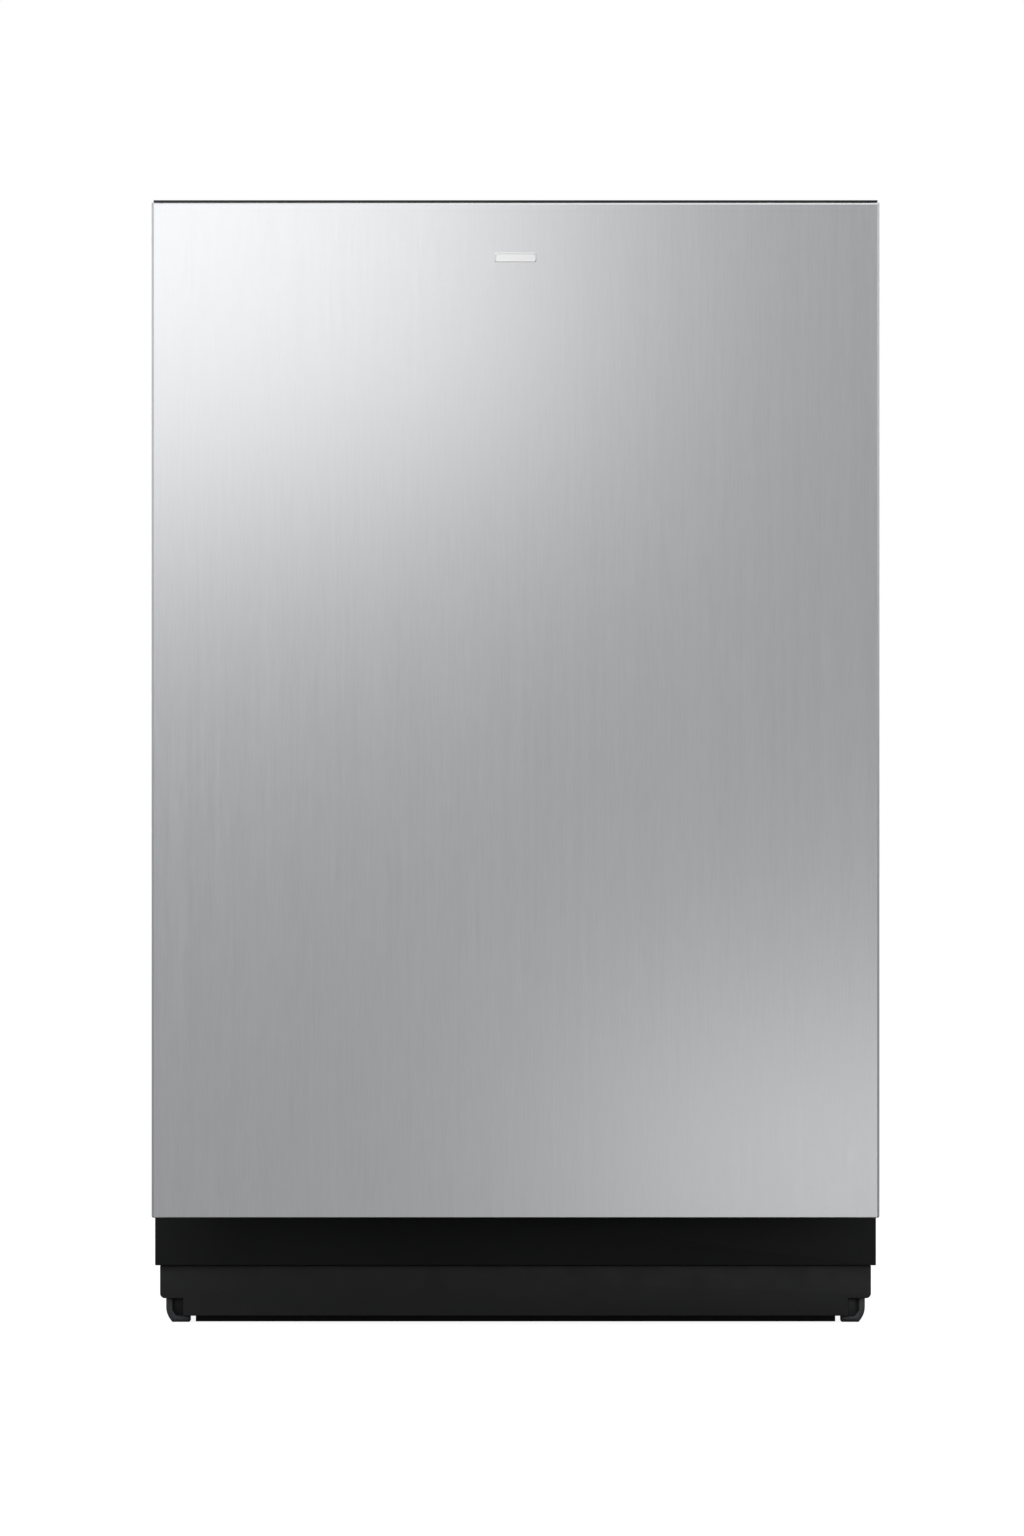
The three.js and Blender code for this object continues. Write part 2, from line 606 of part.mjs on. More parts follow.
function floatDome() {
  const { stem } = FLOAT;
  const profile = [[0, 0], [stem, 0], [stem, 30], [20, 30], [20, 52], [15, 60], [6, 63], [0, 63]];
  const points = profile.map(([radius, height]) => new THREE.Vector2(radius, height));
  return solid(new THREE.LatheGeometry(points, 20).rotateX(Math.PI / 2));
}

const TRAY_FLOOR = TRAY.bottom + TRAY.wall + GAP;

function circulationPump() {
  const { x0, x1, y, z, radius, nose, motor, motorStart, motorEnd } = PUMP;
  const centre = [y, z];
  return join(
    cylinder('x', nose, [x0, 1], centre),
    cylinder('x', radius, [0, motorStart], centre, 28),
    cylinder('x', motor, [motorStart, motorEnd], centre, 28),
    cylinder('x', nose / 2, [motorEnd - 1, x1], centre),
    box([PUMP_FOOT.x0, PUMP_FOOT.x1], [PUMP_FOOT.y0, PUMP_FOOT.y1], [TRAY_FLOOR, PUMP_FOOT.top]),
  );
}

function drainPump() {
  const { x, z, radius, front, back, spout, bore } = DRAIN;
  return cut(
    join(
      box([x - 30, x + 30], [back - 35, back + 5], [TRAY_FLOOR, z - 20]),
      cylinder('y', radius, [front, back], [x, z]),
      cylinder('y', spout, [back - 1, BACK], [x, z]),
    ),
    cylinder('y', bore, [back + 5, BACK + 1], [x, z]),
  );
}

function inletValve() {
  const { x0, x1, y0, y1, top } = VALVE;
  const { x, z, radius, bore } = VALVE_PORT;
  return cut(
    join(
      box([x0, x1], [y0, y1], [TRAY_FLOOR, top]),
      cylinder('y', radius, [y1 - 1, BACK], [x, z]),
    ),
    cylinder('y', bore, [y1 + 2, BACK + 1], [x, z]),
  );
}

// The mains inlet: a moulded box with the empty socket that the supply lead plugs into.
function powerInlet() {
  const { x0, x1, y0, z0, z1 } = INLET;
  const { x, z, depth } = INLET_SOCKET;
  return cut(
    box([x0, x1], [y0, BACK], [z0, z1]),
    box(x, [BACK - depth, BACK + 1], z),
  );
}

// ---- racks ----
// Evenly spaced values from one end to the other, both included.
function spaced(from, to, count) {
  return Array.from({ length: count }, (_, i) => from + ((to - from) * i) / (count - 1));
}

// An open wire basket: a floor grid, upright wires and a ring round the top.
function wireBasket({ half, y0, y1, z0, z1 }, across, along) {
  const w = WIRE;
  const innerX = half - w;
  const pieces = [];
  for (const x of spaced(-half, innerX, across)) {
    pieces.push(box([x, x + w], [y0, y1], [z0, z0 + w]));
  }
  for (const y of spaced(y0, y1 - w, along)) {
    pieces.push(box([-half, half], [y, y + w], [z0, z0 + w]));
  }
  for (const x of [-half, innerX]) {
    pieces.push(box([x, x + w], [y0, y1], [z1 - w, z1]));
  }
  for (const y of [y0, y1 - w]) {
    pieces.push(box([-half, half], [y, y + w], [z1 - w, z1]));
  }
  for (const x of spaced(-half, innerX, across)) {
    for (const y of [y0, y1 - w]) {
      pieces.push(box([x, x + w], [y, y + w], [z0, z1]));
    }
  }
  for (const y of spaced(y0, y1 - w, along)) {
    for (const x of [-half, innerX]) {
      pieces.push(box([x, x + w], [y, y + w], [z0, z1]));
    }
  }
  return join(...pieces);
}

const AXLE_Z = TRACK_TOP + GAP + WHEEL.radius;

function lowerRack() {
  const { inner, outer, halfLength, drop } = WHEEL_BLOCK;
  const blockZ = [AXLE_Z - drop, LOWER_RACK.z0 + WIRE];
  const pieces = [wireBasket(LOWER_RACK, 7, 6)];
  for (const y of Object.values(WHEEL_CENTRES_Y)) {
    for (const [, side] of SIDES) {
      pieces.push(box([side * inner, side * outer], [y - halfLength, y + halfLength], blockZ));
      pieces.push(cylinder('x', WHEEL.axle, [side * (outer - 1), side * (WHEEL.x1 + 1)], [y, AXLE_Z], 16));
    }
  }
  return join(...pieces);
}

function rackWheel(side) {
  const xs = [side * WHEEL.x0, side * WHEEL.x1];
  return cut(
    cylinder('x', WHEEL.radius, xs, [0, 0], 28),
    cylinder('x', WHEEL.bore, [side * (WHEEL.x0 - 1), side * (WHEEL.x1 + 1)], [0, 0], 16),
  );
}

// The upper rack carries its own water pipe, spray-arm pin and slide brackets.
function upperRack() {
  const { half, back, collar } = RACK_PIPE;
  const { reach, halfLength, z } = RACK_BRACKET;
  const pipeZ = [UPPER_ARM.z + 16, UPPER_RACK.z0 + 1];
  const brackets = SIDES.map(([, side]) => box(
    [side * (UPPER_RACK.half - 1), side * reach], [-halfLength, halfLength], z,
  ));
  return join(
    wireBasket(UPPER_RACK, 7, 6),
    box([-half, half], [ARM_Y - half, back], pipeZ),
    cylinder('z', collar, [UPPER_ARM.z + 12, UPPER_ARM.z + 17], [0, ARM_Y]),
    cylinder('z', ARM_PIN, [UPPER_ARM.z - 1, UPPER_ARM.z + 13], [0, ARM_Y]),
    ...brackets,
  );
}

function rackHandle({ z1 }) {
  const { half, height, thick, corner } = HANDLE;
  const front = RACK_FRONT - GAP;
  const top = z1 - 2;
  return extrude('y', roundedRectangle([-half, half], [top - height, top], corner), [front - thick, front]);
}

function cutleryTray() {
  const { half, y0, y1, z0, z1 } = CUTLERY_TRAY;
  const slots = [];
  const { columns, rows, halfX, halfY } = CUTLERY_SLOTS;
  for (const x of spaced(...columns)) {
    for (const y of rows) {
      slots.push(box([x - halfX, x + halfX], [y - halfY, y + halfY], [z0 - 1, z0 + SHELL + 1]));
    }
  }
  const { reach, z: wingZ } = CUTLERY_WING;
  const wings = SIDES.map(([, side]) => box([side * (half - 1), side * reach], [y0 + 5, y1], wingZ));
  return cut(
    join(box([-half, half], [y0, y1], [z0, z1]), ...wings),
    box([-half + SHELL, half - SHELL], [y0 + SHELL, y1 - SHELL], [z0 + SHELL, z1 + 1]),
    ...slots,
  );
}

// A C-section rail on the tub wall, open towards the middle.
function rail(side, { inside, z0, z1 }, depth) {
  return cut(
    box([side * inside, side * (TUB_HALF - GAP)], [RACK_FRONT, 240], [z0, z1]),
    box([side * (inside - 1), side * (inside + depth)], [RACK_FRONT - 1, 241], [z0 + 4, z1 - 4]),
  );
}

// The sliding member between a rack rail and the rack's bracket.
function rackSlider(side) {
  const { inside, z0, z1 } = RACK_RAIL;
  return box([side * (inside - 5), side * (inside + 7)], [RACK_FRONT, 200], [z0 + 6, z1 - 6]);
}

// ---- assembly ----
add('door_outer_panel', doorOuterPanel(), brushedSteel());
add('door_badge', doorBadge(), brushedSteel());
add('door_inner_liner', doorLiner(), tubSteel());
add('door_insulation', doorInsulation(), felt());
add('control_strip', controlStrip(), blackPlastic());
add('display_lens', box(
  [LENS.x0, LENS.x1], [LENS.y0, LENS.y1], [HEIGHT - LENS.thick, HEIGHT],
), smokedGlass());
add('power_button', cylinder(
  'z', BUTTON.radius, [BUTTON.bottom, HEIGHT - BUTTON.recess], [BUTTON.x, BUTTON.y],
), darkGreyPlastic());
add('door_latch', doorLatch(), darkGreyPlastic());
add('dispenser_housing', dispenserHousing(), greyPlastic());
add('dispenser_lid', dispenserLid(), darkGreyPlastic());
add('rinse_aid_cap', rinseAidCap(), darkGreyPlastic());
add('vent_cover', ventCover(), greyPlastic());

add('tub_shell', tubShell(), tubSteel());
add('tub_floor', tubFloor(), darkGreyPlastic());
add('tub_gasket', tubGasket(), rubber());
add('top_cover', topCover(), zincSteel());
add('rear_panel', rearPanel(), zincSteel());
add('latch_striker', latchStriker(), zincSteel());
add('base_tray', baseTray(), blackPlastic());
add('access_panel', accessPanel(), blackPaint());
add('toe_panel', toePanel(), blackPlastic());
add('kick_seal_strip', kickSealStrip(), rubber());

add('sump', sump(), blackPlastic());
add('fine_filter', fineFilter(), tubSteel());
add('filter_cylinder', filterCylinder(), greyPlastic(), [FILTER.x, FILTER.y, 0]);
add('lower_arm_support', lowerArmSupport(), darkGreyPlastic());
add('feed_pipe', feedPipe(), darkGreyPlastic());
add('lower_spray_arm', sprayArm(LOWER_ARM), darkGreyPlastic(), [0, ARM_Y, LOWER_ARM.z]);
add('upper_spray_arm', sprayArm(UPPER_ARM), darkGreyPlastic(), [0, ARM_Y, UPPER_ARM.z]);
add('top_spray_arm', sprayArm(TOP_ARM), darkGreyPlastic(), [0, ARM_Y, TOP_ARM.z]);
add('float_dome', floatDome(), greyPlastic(), [FLOAT.x, FLOAT.y, FLOAT.foot]);
add('circulation_pump', circulationPump(), blackPlastic());
add('drain_pump', drainPump(), blackPlastic());
add('inlet_valve', inletValve(), whitePlastic());
add('power_inlet', powerInlet(), blackPlastic());

add('lower_rack', lowerRack(), coatedWire());
add('lower_rack_handle', rackHandle(LOWER_RACK), greyPlastic());
add('upper_rack', upperRack(), coatedWire());
add('upper_rack_handle', rackHandle(UPPER_RACK), greyPlastic());
add('cutlery_tray', cutleryTray(), greyPlastic());

for (const [name, side] of SIDES) {
  add(`hinge_arm_${name}`, hingeArm(side), zincSteel());
  add(`hinge_bracket_${name}`, hingeBracket(side), zincSteel());
  add(`side_panel_${name}`, sidePanel(side), blackPaint());
  add(`rack_rail_${name}`, rail(side, RACK_RAIL, 8), tubSteel());
  add(`rack_slider_${name}`, rackSlider(side), tubSteel());
  add(`tray_rail_${name}`, rail(side, TRAY_RAIL, 12), greyPlastic());
  for (const [place, y] of Object.entries(FOOT_CENTRES_Y)) {
    add(`foot_${place}_${name}`, foot(side), blackPlastic(), [0, y, 0]);
  }
  for (const [place, y] of Object.entries(WHEEL_CENTRES_Y)) {
    add(`wheel_${place}_${name}`, rackWheel(side), greyPlastic(), [0, y, AXLE_Z]);
  }
}

export default dishwasher;
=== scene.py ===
"""The looks of a built-in dishwasher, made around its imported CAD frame.

+Z up, door facing -Y. Pieces take their places and outer sizes from the frame's own nodes. Shapes are
worked out in millimetres; materials, camera and lights are in metres, as the scene is.
"""
import json
import math

import bmesh
import bpy
from mathutils import Matrix, Vector


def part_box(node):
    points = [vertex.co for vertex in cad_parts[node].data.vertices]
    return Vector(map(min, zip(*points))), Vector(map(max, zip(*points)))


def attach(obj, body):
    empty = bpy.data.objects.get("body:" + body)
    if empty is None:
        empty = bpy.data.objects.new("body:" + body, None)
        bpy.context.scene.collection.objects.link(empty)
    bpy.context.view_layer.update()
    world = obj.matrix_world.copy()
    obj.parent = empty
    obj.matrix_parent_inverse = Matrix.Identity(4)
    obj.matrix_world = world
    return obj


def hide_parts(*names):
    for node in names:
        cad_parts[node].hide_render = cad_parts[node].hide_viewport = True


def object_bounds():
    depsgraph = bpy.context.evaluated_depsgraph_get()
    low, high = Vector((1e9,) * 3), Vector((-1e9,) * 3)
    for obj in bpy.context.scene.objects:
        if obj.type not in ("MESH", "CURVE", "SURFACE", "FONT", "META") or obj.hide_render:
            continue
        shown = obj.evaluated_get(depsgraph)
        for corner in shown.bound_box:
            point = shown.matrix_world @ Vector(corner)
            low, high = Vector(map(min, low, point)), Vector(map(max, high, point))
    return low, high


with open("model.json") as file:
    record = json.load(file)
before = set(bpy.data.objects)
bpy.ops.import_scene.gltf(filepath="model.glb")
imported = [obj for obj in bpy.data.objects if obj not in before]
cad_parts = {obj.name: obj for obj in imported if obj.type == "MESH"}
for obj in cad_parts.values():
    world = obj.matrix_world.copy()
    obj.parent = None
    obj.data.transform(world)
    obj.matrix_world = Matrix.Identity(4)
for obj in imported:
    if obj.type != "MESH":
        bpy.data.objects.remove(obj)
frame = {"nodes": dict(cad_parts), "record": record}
CAD_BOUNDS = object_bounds()
NODES = frame["nodes"]
MM = 0.001
UP = (0, 0, 1)
BACK = (0, 1, 0)
SIDES = (("left", -1), ("right", 1))
PLACES = ("front", "rear")
CABINET_SHEET = 1.1

# camera and light, in metres and millimetres of sensor
FRONT_Y = CAD_BOUNDS[0].y
DOOR_WIDTH = CAD_BOUNDS[1].x - CAD_BOUNDS[0].x
DOOR_SHARE = 0.71094  # the door's width, as a share of the picture's width
PICTURE_RATIO = 1.5  # the picture's height over its width
SENSOR = 36.0
CAMERA_DISTANCE = 20.0
CAMERA_X = -0.0029
CAMERA_HEIGHT = 0.4575
AMBIENT = 0.55
FLOOR_GLOW = 0.9
FLOOR_REACH = 4 * CAMERA_DISTANCE


# ---- node materials ----
METAL = {"Metallic": 1.0}


class Look:
    """A Principled material with short calls for adding and linking nodes."""

    def __init__(self, name, colour, roughness, sockets=None):
        self.colour = colour
        self.roughness = roughness
        self.material = bpy.data.materials.new(name)
        self.material.use_nodes = True
        self.tree = self.material.node_tree
        self.shader = self.tree.nodes["Principled BSDF"]
        values = {"Base Color": (*colour, 1.0), "Roughness": roughness, **(sockets or {})}
        for socket, value in values.items():
            self.shader.inputs[socket].default_value = value
        self.place = self.node("ShaderNodeTexCoord").outputs["Object"]

    def node(self, kind, inputs=None, **settings):
        """Adds a node. Each input is a value, or a socket to link from."""
        made = self.tree.nodes.new(kind)
        for key, value in settings.items():
            setattr(made, key, value)
        for key, value in (inputs or {}).items():
            if isinstance(value, bpy.types.NodeSocket):
                self.tree.links.new(value, made.inputs[key])
            else:
                made.inputs[key].default_value = value
        return made

    def link(self, output, socket):
        self.tree.links.new(output, self.shader.inputs[socket])

    def noise(self, scale, detail, roughness=0.5):
        """A noise on object coordinates. A scale of three numbers stretches it along each axis."""
        vector = self.place
        if isinstance(scale, tuple):
            vector = self.node("ShaderNodeMapping", {"Vector": vector, "Scale": scale}).outputs["Vector"]
            scale = 1.0
        inputs = {"Vector": vector, "Scale": scale, "Detail": detail, "Roughness": roughness}
        return self.node("ShaderNodeTexNoise", inputs).outputs["Fac"]

    def spread(self, value, low, high, start, end):
        """A value between start and end, mapped to the range between low and high."""
        inputs = {"Value": value, "From Min": start, "From Max": end, "To Min": low, "To Max": high}
        return self.node("ShaderNodeMapRange", inputs).outputs["Result"]

    def tint(self, value, amount, start=0.3, end=0.7):
        """Varies the base colour by plus or minus amount."""
        dark, light = [[min(1.0, c * (1 + sign * amount)) for c in self.colour] for sign in (-1, 1)]
        factor = self.spread(value, 0.0, 1.0, start, end)
        # the sockets of a mix of colours: 0 is the factor, 6 and 7 are the colours, 2 is the result
        mix = self.node("ShaderNodeMix", {0: factor, 6: (*dark, 1.0), 7: (*light, 1.0)}, data_type="RGBA")
        self.link(mix.outputs[2], "Base Color")

    def rough(self, value, amount, start=0.3, end=0.7):
        """Varies the roughness by plus or minus amount."""
        result = self.spread(value, self.roughness - amount, self.roughness + amount, start, end)
        self.link(result, "Roughness")

    def bump(self, value, height, strength):
        """Bumps the surface by a height in metres."""
        made = self.node("ShaderNodeBump", {"Height": value, "Distance": height, "Strength": strength})
        self.link(made.outputs["Normal"], "Normal")

    def mottle(self, tint, rough, bump=None):
        """Varies the colour and the roughness by noises of (scale, detail, amount), and the height by a
        noise of (scale, detail, height, strength)."""
        self.tint(self.noise(*tint[:2]), tint[2])
        self.rough(self.noise(*rough[:2]), rough[2])
        if bump:
            self.bump(self.noise(*bump[:2]), *bump[2:])
        return self.material


def brushed_steel(name, colour, roughness, contrast):
    """Steel brushed in fine short vertical scratches, with broader faint bands."""
    look = Look(name, colour, roughness, METAL)
    fine = look.noise((1900.0, 1900.0, 45.0), 2.0)
    broad = look.noise((260.0, 260.0, 2.5), 2.0)
    scratches = look.node("ShaderNodeMix", {"Factor": 0.25, "A": fine, "B": broad}).outputs["Result"]
    look.tint(scratches, contrast)
    look.rough(scratches, contrast)
    look.bump(fine, 0.01 * MM, 0.3)
    return look.material


def pressed_steel(name, colour, roughness):
    """Smooth stainless sheet with a faint rolled grain and handling marks."""
    look = Look(name, colour, roughness, METAL)
    grain = look.noise((500.0, 500.0, 14.0), 3.0)
    look.tint(grain, 0.03)
    look.rough(look.noise(9.0, 5.0), 0.02)
    look.bump(grain, 0.01 * MM, 0.2)
    return look.material


def zinc_sheet(name, colour, roughness):
    """Hot-dip zinc with its crystal spangle."""
    look = Look(name, colour, roughness, {"Metallic": 0.85})
    spangle = look.node("ShaderNodeTexVoronoi", {"Vector": look.place, "Scale": 95.0}).outputs["Color"]
    shade = look.node("ShaderNodeRGBToBW", {"Color": spangle}).outputs[0]
    look.tint(shade, 0.11, 0.1, 0.9)
    look.rough(shade, 0.09, 0.1, 0.9)
    look.bump(look.noise(420.0, 4.0), 0.02 * MM, 0.3)
    return look.material


def moulded_plastic(name, colour, roughness, gloss=0.5):
    """Injection-moulded plastic with a fine eroded grain."""
    look = Look(name, colour, roughness, {"Specular IOR Level": gloss})
    return look.mottle((24.0, 5.0, 0.07), (60.0, 4.0, 0.06), (1500.0, 3.0, 0.03 * MM, 0.5))


def powder_coat(name, colour, roughness, gloss=0.5):
    """Powder-coated sheet with a slight orange peel."""
    look = Look(name, colour, roughness, {"Specular IOR Level": gloss})
    return look.mottle((18.0, 4.0, 0.06), (40.0, 4.0, 0.05), (620.0, 2.0, 0.04 * MM, 0.5))


def moulded_rubber(name, colour, gloss=0.5):
    """Dull black rubber, a little uneven."""
    look = Look(name, colour, 0.72, {"Specular IOR Level": gloss})
    return look.mottle((50.0, 5.0, 0.15), (90.0, 3.0, 0.08), (900.0, 4.0, 0.04 * MM, 0.6))


def coated_wire(name, colour):
    """Grey nylon dipped over wire."""
    look = Look(name, colour, 0.33, {"Coat Weight": 0.3, "Coat Roughness": 0.2})
    return look.mottle((35.0, 4.0, 0.06), (120.0, 3.0, 0.06), (500.0, 2.0, 0.05 * MM, 0.5))


def smoked_lens(name, colour):
    """A dark glossy window."""
    look = Look(name, colour, 0.08, {"Coat Weight": 0.6, "Coat Roughness": 0.03})
    return look.mottle((12.0, 3.0, 0.1), (30.0, 5.0, 0.03))


def felt_pad(name, colour):
    """Matted recycled fibre: short dark and light strands."""
    look = Look(name, colour, 0.95)
    strands = look.noise((420.0, 900.0, 260.0), 6.0, 0.7)
    look.tint(strands, 0.45)
    look.bump(strands, 0.6 * MM, 0.8)
    return look.material


# each look's function, and what the function takes after the name
LOOKS = {
    "door_steel": (brushed_steel, (0.795, 0.802, 0.82), 0.355, 0.035),
    "badge_steel": (brushed_steel, (0.975, 0.975, 0.98), 0.35, 0.015),
    "tub_steel": (pressed_steel, (0.78, 0.785, 0.79), 0.24),
    "zinc_steel": (zinc_sheet, (0.55, 0.57, 0.59), 0.46),
    "black_paint": (powder_coat, (0.045, 0.046, 0.049), 0.4),
    "kick_paint": (powder_coat, (0.028, 0.0285, 0.03), 0.5, 0.06),
    "toe_plastic": (moulded_plastic, (0.030, 0.0305, 0.031), 0.48, 0.28),
    "black_plastic": (moulded_plastic, (0.018, 0.0185, 0.0195), 0.45),
    "strip_plastic": (moulded_plastic, (0.055, 0.056, 0.058), 0.4),
    "foot_plastic": (moulded_plastic, (0.055, 0.058, 0.063), 0.34),
    "dark_grey_plastic": (moulded_plastic, (0.09, 0.095, 0.1), 0.45),
    "grey_plastic": (moulded_plastic, (0.36, 0.38, 0.40), 0.42),
    "white_plastic": (moulded_plastic, (0.78, 0.79, 0.78), 0.4),
    "rubber": (moulded_rubber, (0.022, 0.023, 0.025)),
    # near-black dull rubber for the floor strip: partly its own black, partly painted shade for the shadowed
    # gap under the toe panel
    "lip_rubber": (moulded_rubber, (0.004, 0.004, 0.0045), 0.1),
    "rack_wire": (coated_wire, (0.30, 0.32, 0.34)),
    "felt": (felt_pad, (0.10, 0.095, 0.085)),
    "smoked_glass": (smoked_lens, (0.008, 0.008, 0.011)),
}
MATERIALS = {name: maker(name, *settings) for name, (maker, *settings) in LOOKS.items()}
SLOT_OF_NODE = {part["node"]: part["material_slot"] for part in frame["record"]["subparts"]}
LOOK_OF_NODE = {"control_strip": "strip_plastic"}


def soften(piece, width):
    """Welds a faceted piece and rounds its sharp edges."""
    piece.modifiers.new("weld", "WELD").merge_threshold = 0.01 * MM
    bevel = piece.modifiers.new("bevel", "BEVEL")
    bevel.width = width
    bevel.segments = 2
    bevel.limit_method = "ANGLE"
    bevel.angle_limit = math.radians(35)
    bevel.use_clamp_overlap = True
    for face in piece.data.polygons:
        face.use_smooth = True
    piece.modifiers.new("flat faces", "WEIGHTED_NORMAL").weight = 100


def dress_frame():
    """Gives every CAD node its look and slightly rounded edges."""
    for name, node in NODES.items():
        node.data.materials.clear()
        node.data.materials.append(MATERIALS[LOOK_OF_NODE.get(name, SLOT_OF_NODE[name])])
        soften(node, 0.5 * MM)


# ---- mesh building ----
def box(node):
    """The lowest and highest corner of a CAD node, in millimetres."""
    return [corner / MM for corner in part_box(node)]


def linked(name, data):
    """A new object in the scene."""
    made = bpy.data.objects.new(name, data)
    bpy.context.scene.collection.objects.link(made)
    return made


def placed(name, data, material, body, replaced=()):
    """An object that rides on a body and may stand for CAD nodes."""
    data.materials.append(MATERIALS[material])
    piece = linked(name, data)
    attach(piece, body)
    if replaced:
        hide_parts(*replaced)
    return piece


def new_piece(name, shape, material, body, replaced=(), sheet=0.0):
    """A smooth-shaded piece from a shape of (points, faces). An open shape gets a sheet thickness."""
    points, faces = shape
    data = bpy.data.meshes.new(name)
    data.from_pydata([Vector(p) * MM for p in points], [], faces)
    cleaned = bmesh.new()
    cleaned.from_mesh(data)
    bmesh.ops.remove_doubles(cleaned, verts=cleaned.verts, dist=0.001 * MM)
    bmesh.ops.recalc_face_normals(cleaned, faces=cleaned.faces)
    cleaned.to_mesh(data)
    cleaned.free()
    data.shade_smooth()
    data.set_sharp_from_angle(angle=math.radians(40))
    piece = placed(name, data, material, body, replaced)
    if sheet:
        solidify = piece.modifiers.new("sheet", "SOLIDIFY")
        solidify.thickness = sheet * MM
        solidify.offset = 0.0


def joined(shapes):
    """One shape from several."""
    points, faces = [], []
    for more_points, more_faces in shapes:
        start = len(points)
        points += more_points
        faces += [tuple(start + i for i in face) for face in more_faces]
    return points, faces


def arc(centre, radius, start, end, steps):
    """Points (u, v) on an arc, angles in degrees, both ends included."""
    angles = [math.radians(start + (end - start) * i / steps) for i in range(steps + 1)]
    return [(centre[0] + radius * math.cos(a), centre[1] + radius * math.sin(a)) for a in angles]


def rounded_rectangle(low, high, radius, steps=4):
    """Points (u, v) round a rectangle with rounded corners, counter-clockwise."""
    (u0, v0), (u1, v1) = low, high
    corners = [
        ((u1 - radius, v0 + radius), -90), ((u1 - radius, v1 - radius), 0),
        ((u0 + radius, v1 - radius), 90), ((u0 + radius, v0 + radius), 180),
    ]
    return [point for centre, start in corners for point in arc(centre, radius, start, start + 90, steps)]


def on_axis(axis, u, v, w):
    """A point from two coordinates across an axis and one along it."""
    return {"x": (w, u, v), "y": (u, w, v), "z": (u, v, w)}[axis]


def across(axis, point):
    """The two coordinates of a point across an axis."""
    return [value for value, name in zip(point, "xyz") if name != axis]


def framed(low, high, inset, corner, level, axis="y", steps=4):
    """A rounded rectangular loop across an axis at a level, inset from a box."""
    (u0, v0), (u1, v1) = across(axis, low), across(axis, high)
    outline = rounded_rectangle((u0 + inset, v0 + inset), (u1 - inset, v1 - inset), corner, steps)
    return [on_axis(axis, u, v, level) for u, v in outline]


def lofted(loops, caps=True):
    """A skin through loops with equal counts, closed at both ends when capped."""
    count = len(loops[0])
    points = [point for loop in loops for point in loop]
    faces = []
    for start in range(0, len(points) - count, count):
        for i in range(count):
            j = (i + 1) % count
            faces.append((start + i, start + j, start + count + j, start + count + i))
    if caps:
        faces.append(tuple(range(count)))
        faces.append(tuple(range(len(points) - count, len(points))))
    return points, faces


def inset_outline(outline, inset):
    """A counter-clockwise outline moved inwards."""
    moved = []
    count = len(outline)
    for i, point in enumerate(outline):
        here = Vector(point)
        before = (here - Vector(outline[i - 1])).normalized()
        after = (Vector(outline[(i + 1) % count]) - here).normalized()
        inwards = Vector((-before.y - after.y, before.x + after.x))
        moved.append(here + inwards * (inset / max(0.2, 1 + before.dot(after))))
    return moved


def plate(outline, start, end, edge, axis):
    """A counter-clockwise outline pushed along an axis, with rounded edges at both ends."""
    rounding = [(edge - u, edge - v) for u, v in arc((0, 0), edge, 90, 0, 3)]
    steps = [(inset, start + rise) for inset, rise in reversed(rounding)]
    steps += [(inset, end - rise) for inset, rise in rounding]
    steps.sort(key=lambda step: step[1])
    return lofted([[on_axis(axis, u, v, w) for u, v in inset_outline(outline, inset)] for inset, w in steps])


def rounded_block(low, high, corner, edge, axis):
    """A plate with a rounded rectangular outline, between two corners of its box."""
    outline = rounded_rectangle(across(axis, low), across(axis, high), corner)
    along = "xyz".index(axis)
    return plate(outline, low[along], high[along], edge, axis)


def turned(shape, origin, direction=UP):
    """A shape with its +Z turned to a direction and its origin moved."""
    turn = Vector(direction).to_track_quat("Z", "Y")
    points, faces = shape
    return [Vector(origin) + turn @ Vector(p) for p in points], faces


def ring(radius, height, steps=24, lobes=0, lobe=0.0):
    """A circle about Z, or a lobed one."""
    loop = []
    for i in range(steps):
        angle = 2 * math.pi * i / steps
        reach = radius + lobe * math.cos(lobes * angle)
        loop.append((reach * math.cos(angle), reach * math.sin(angle), height))
    return loop


def lathe(profile, steps=24, bored=False):
    """A profile of (radius, height) turned about Z. A bored one closes on itself round a hole."""
    loops = [ring(max(radius, 0.05), height, steps) for radius, height in profile]
    if bored:
        return lofted(loops + [loops[0]], caps=False)
    return lofted(loops)


def grid(rows, opening=None):
    """A sheet through rows of points. Cells whose middle is in the opening are left out."""
    count = len(rows[0])
    points = [Vector(point) for row in rows for point in row]
    faces = []
    for start in range(0, len(points) - count, count):
        for i in range(start, start + count - 1):
            if not (opening and opening((points[i] + points[i + count + 1]) / 2)):
                faces.append((i, i + 1, i + count + 1, i + count))
    return points, faces


def swept(path, section, closed, rise=lambda x, y, z: 0.0):
    """A section of (offset, y) points carried along a path of (x, z) points, offset to the path's left.
    rise(x, y, z) offsets a point further."""
    loops = []
    for i, (x, z) in enumerate(path):
        before = path[max(i - 1, 0)]
        after = path[min(i + 1, len(path) - 1)]
        run = Vector((after[0] - before[0], after[1] - before[1])).normalized()
        offsets = [(offset + rise(x, y, z), y) for offset, y in section]
        loops.append([(x - run.y * offset, y, z + run.x * offset) for offset, y in offsets])
    return lofted(loops) if closed else grid(loops)


def shares(low, high, fractions):
    """The values at some fractions of a range."""
    return [low + (high - low) * fraction for fraction in fractions]


def evenly(low, high, gaps):
    """The ends of a range, and the values that part it into equal gaps."""
    return shares(low, high, [k / gaps for k in range(gaps + 1)])


def lines(low, high, step, extra=()):
    """Evenly spaced grid values with a few exact ones among them."""
    even = evenly(low, high, max(1, round((high - low) / step)))
    kept = [value for value in even if all(abs(value - other) > step * 0.4 for other in extra)]
    return sorted(kept + list(extra))


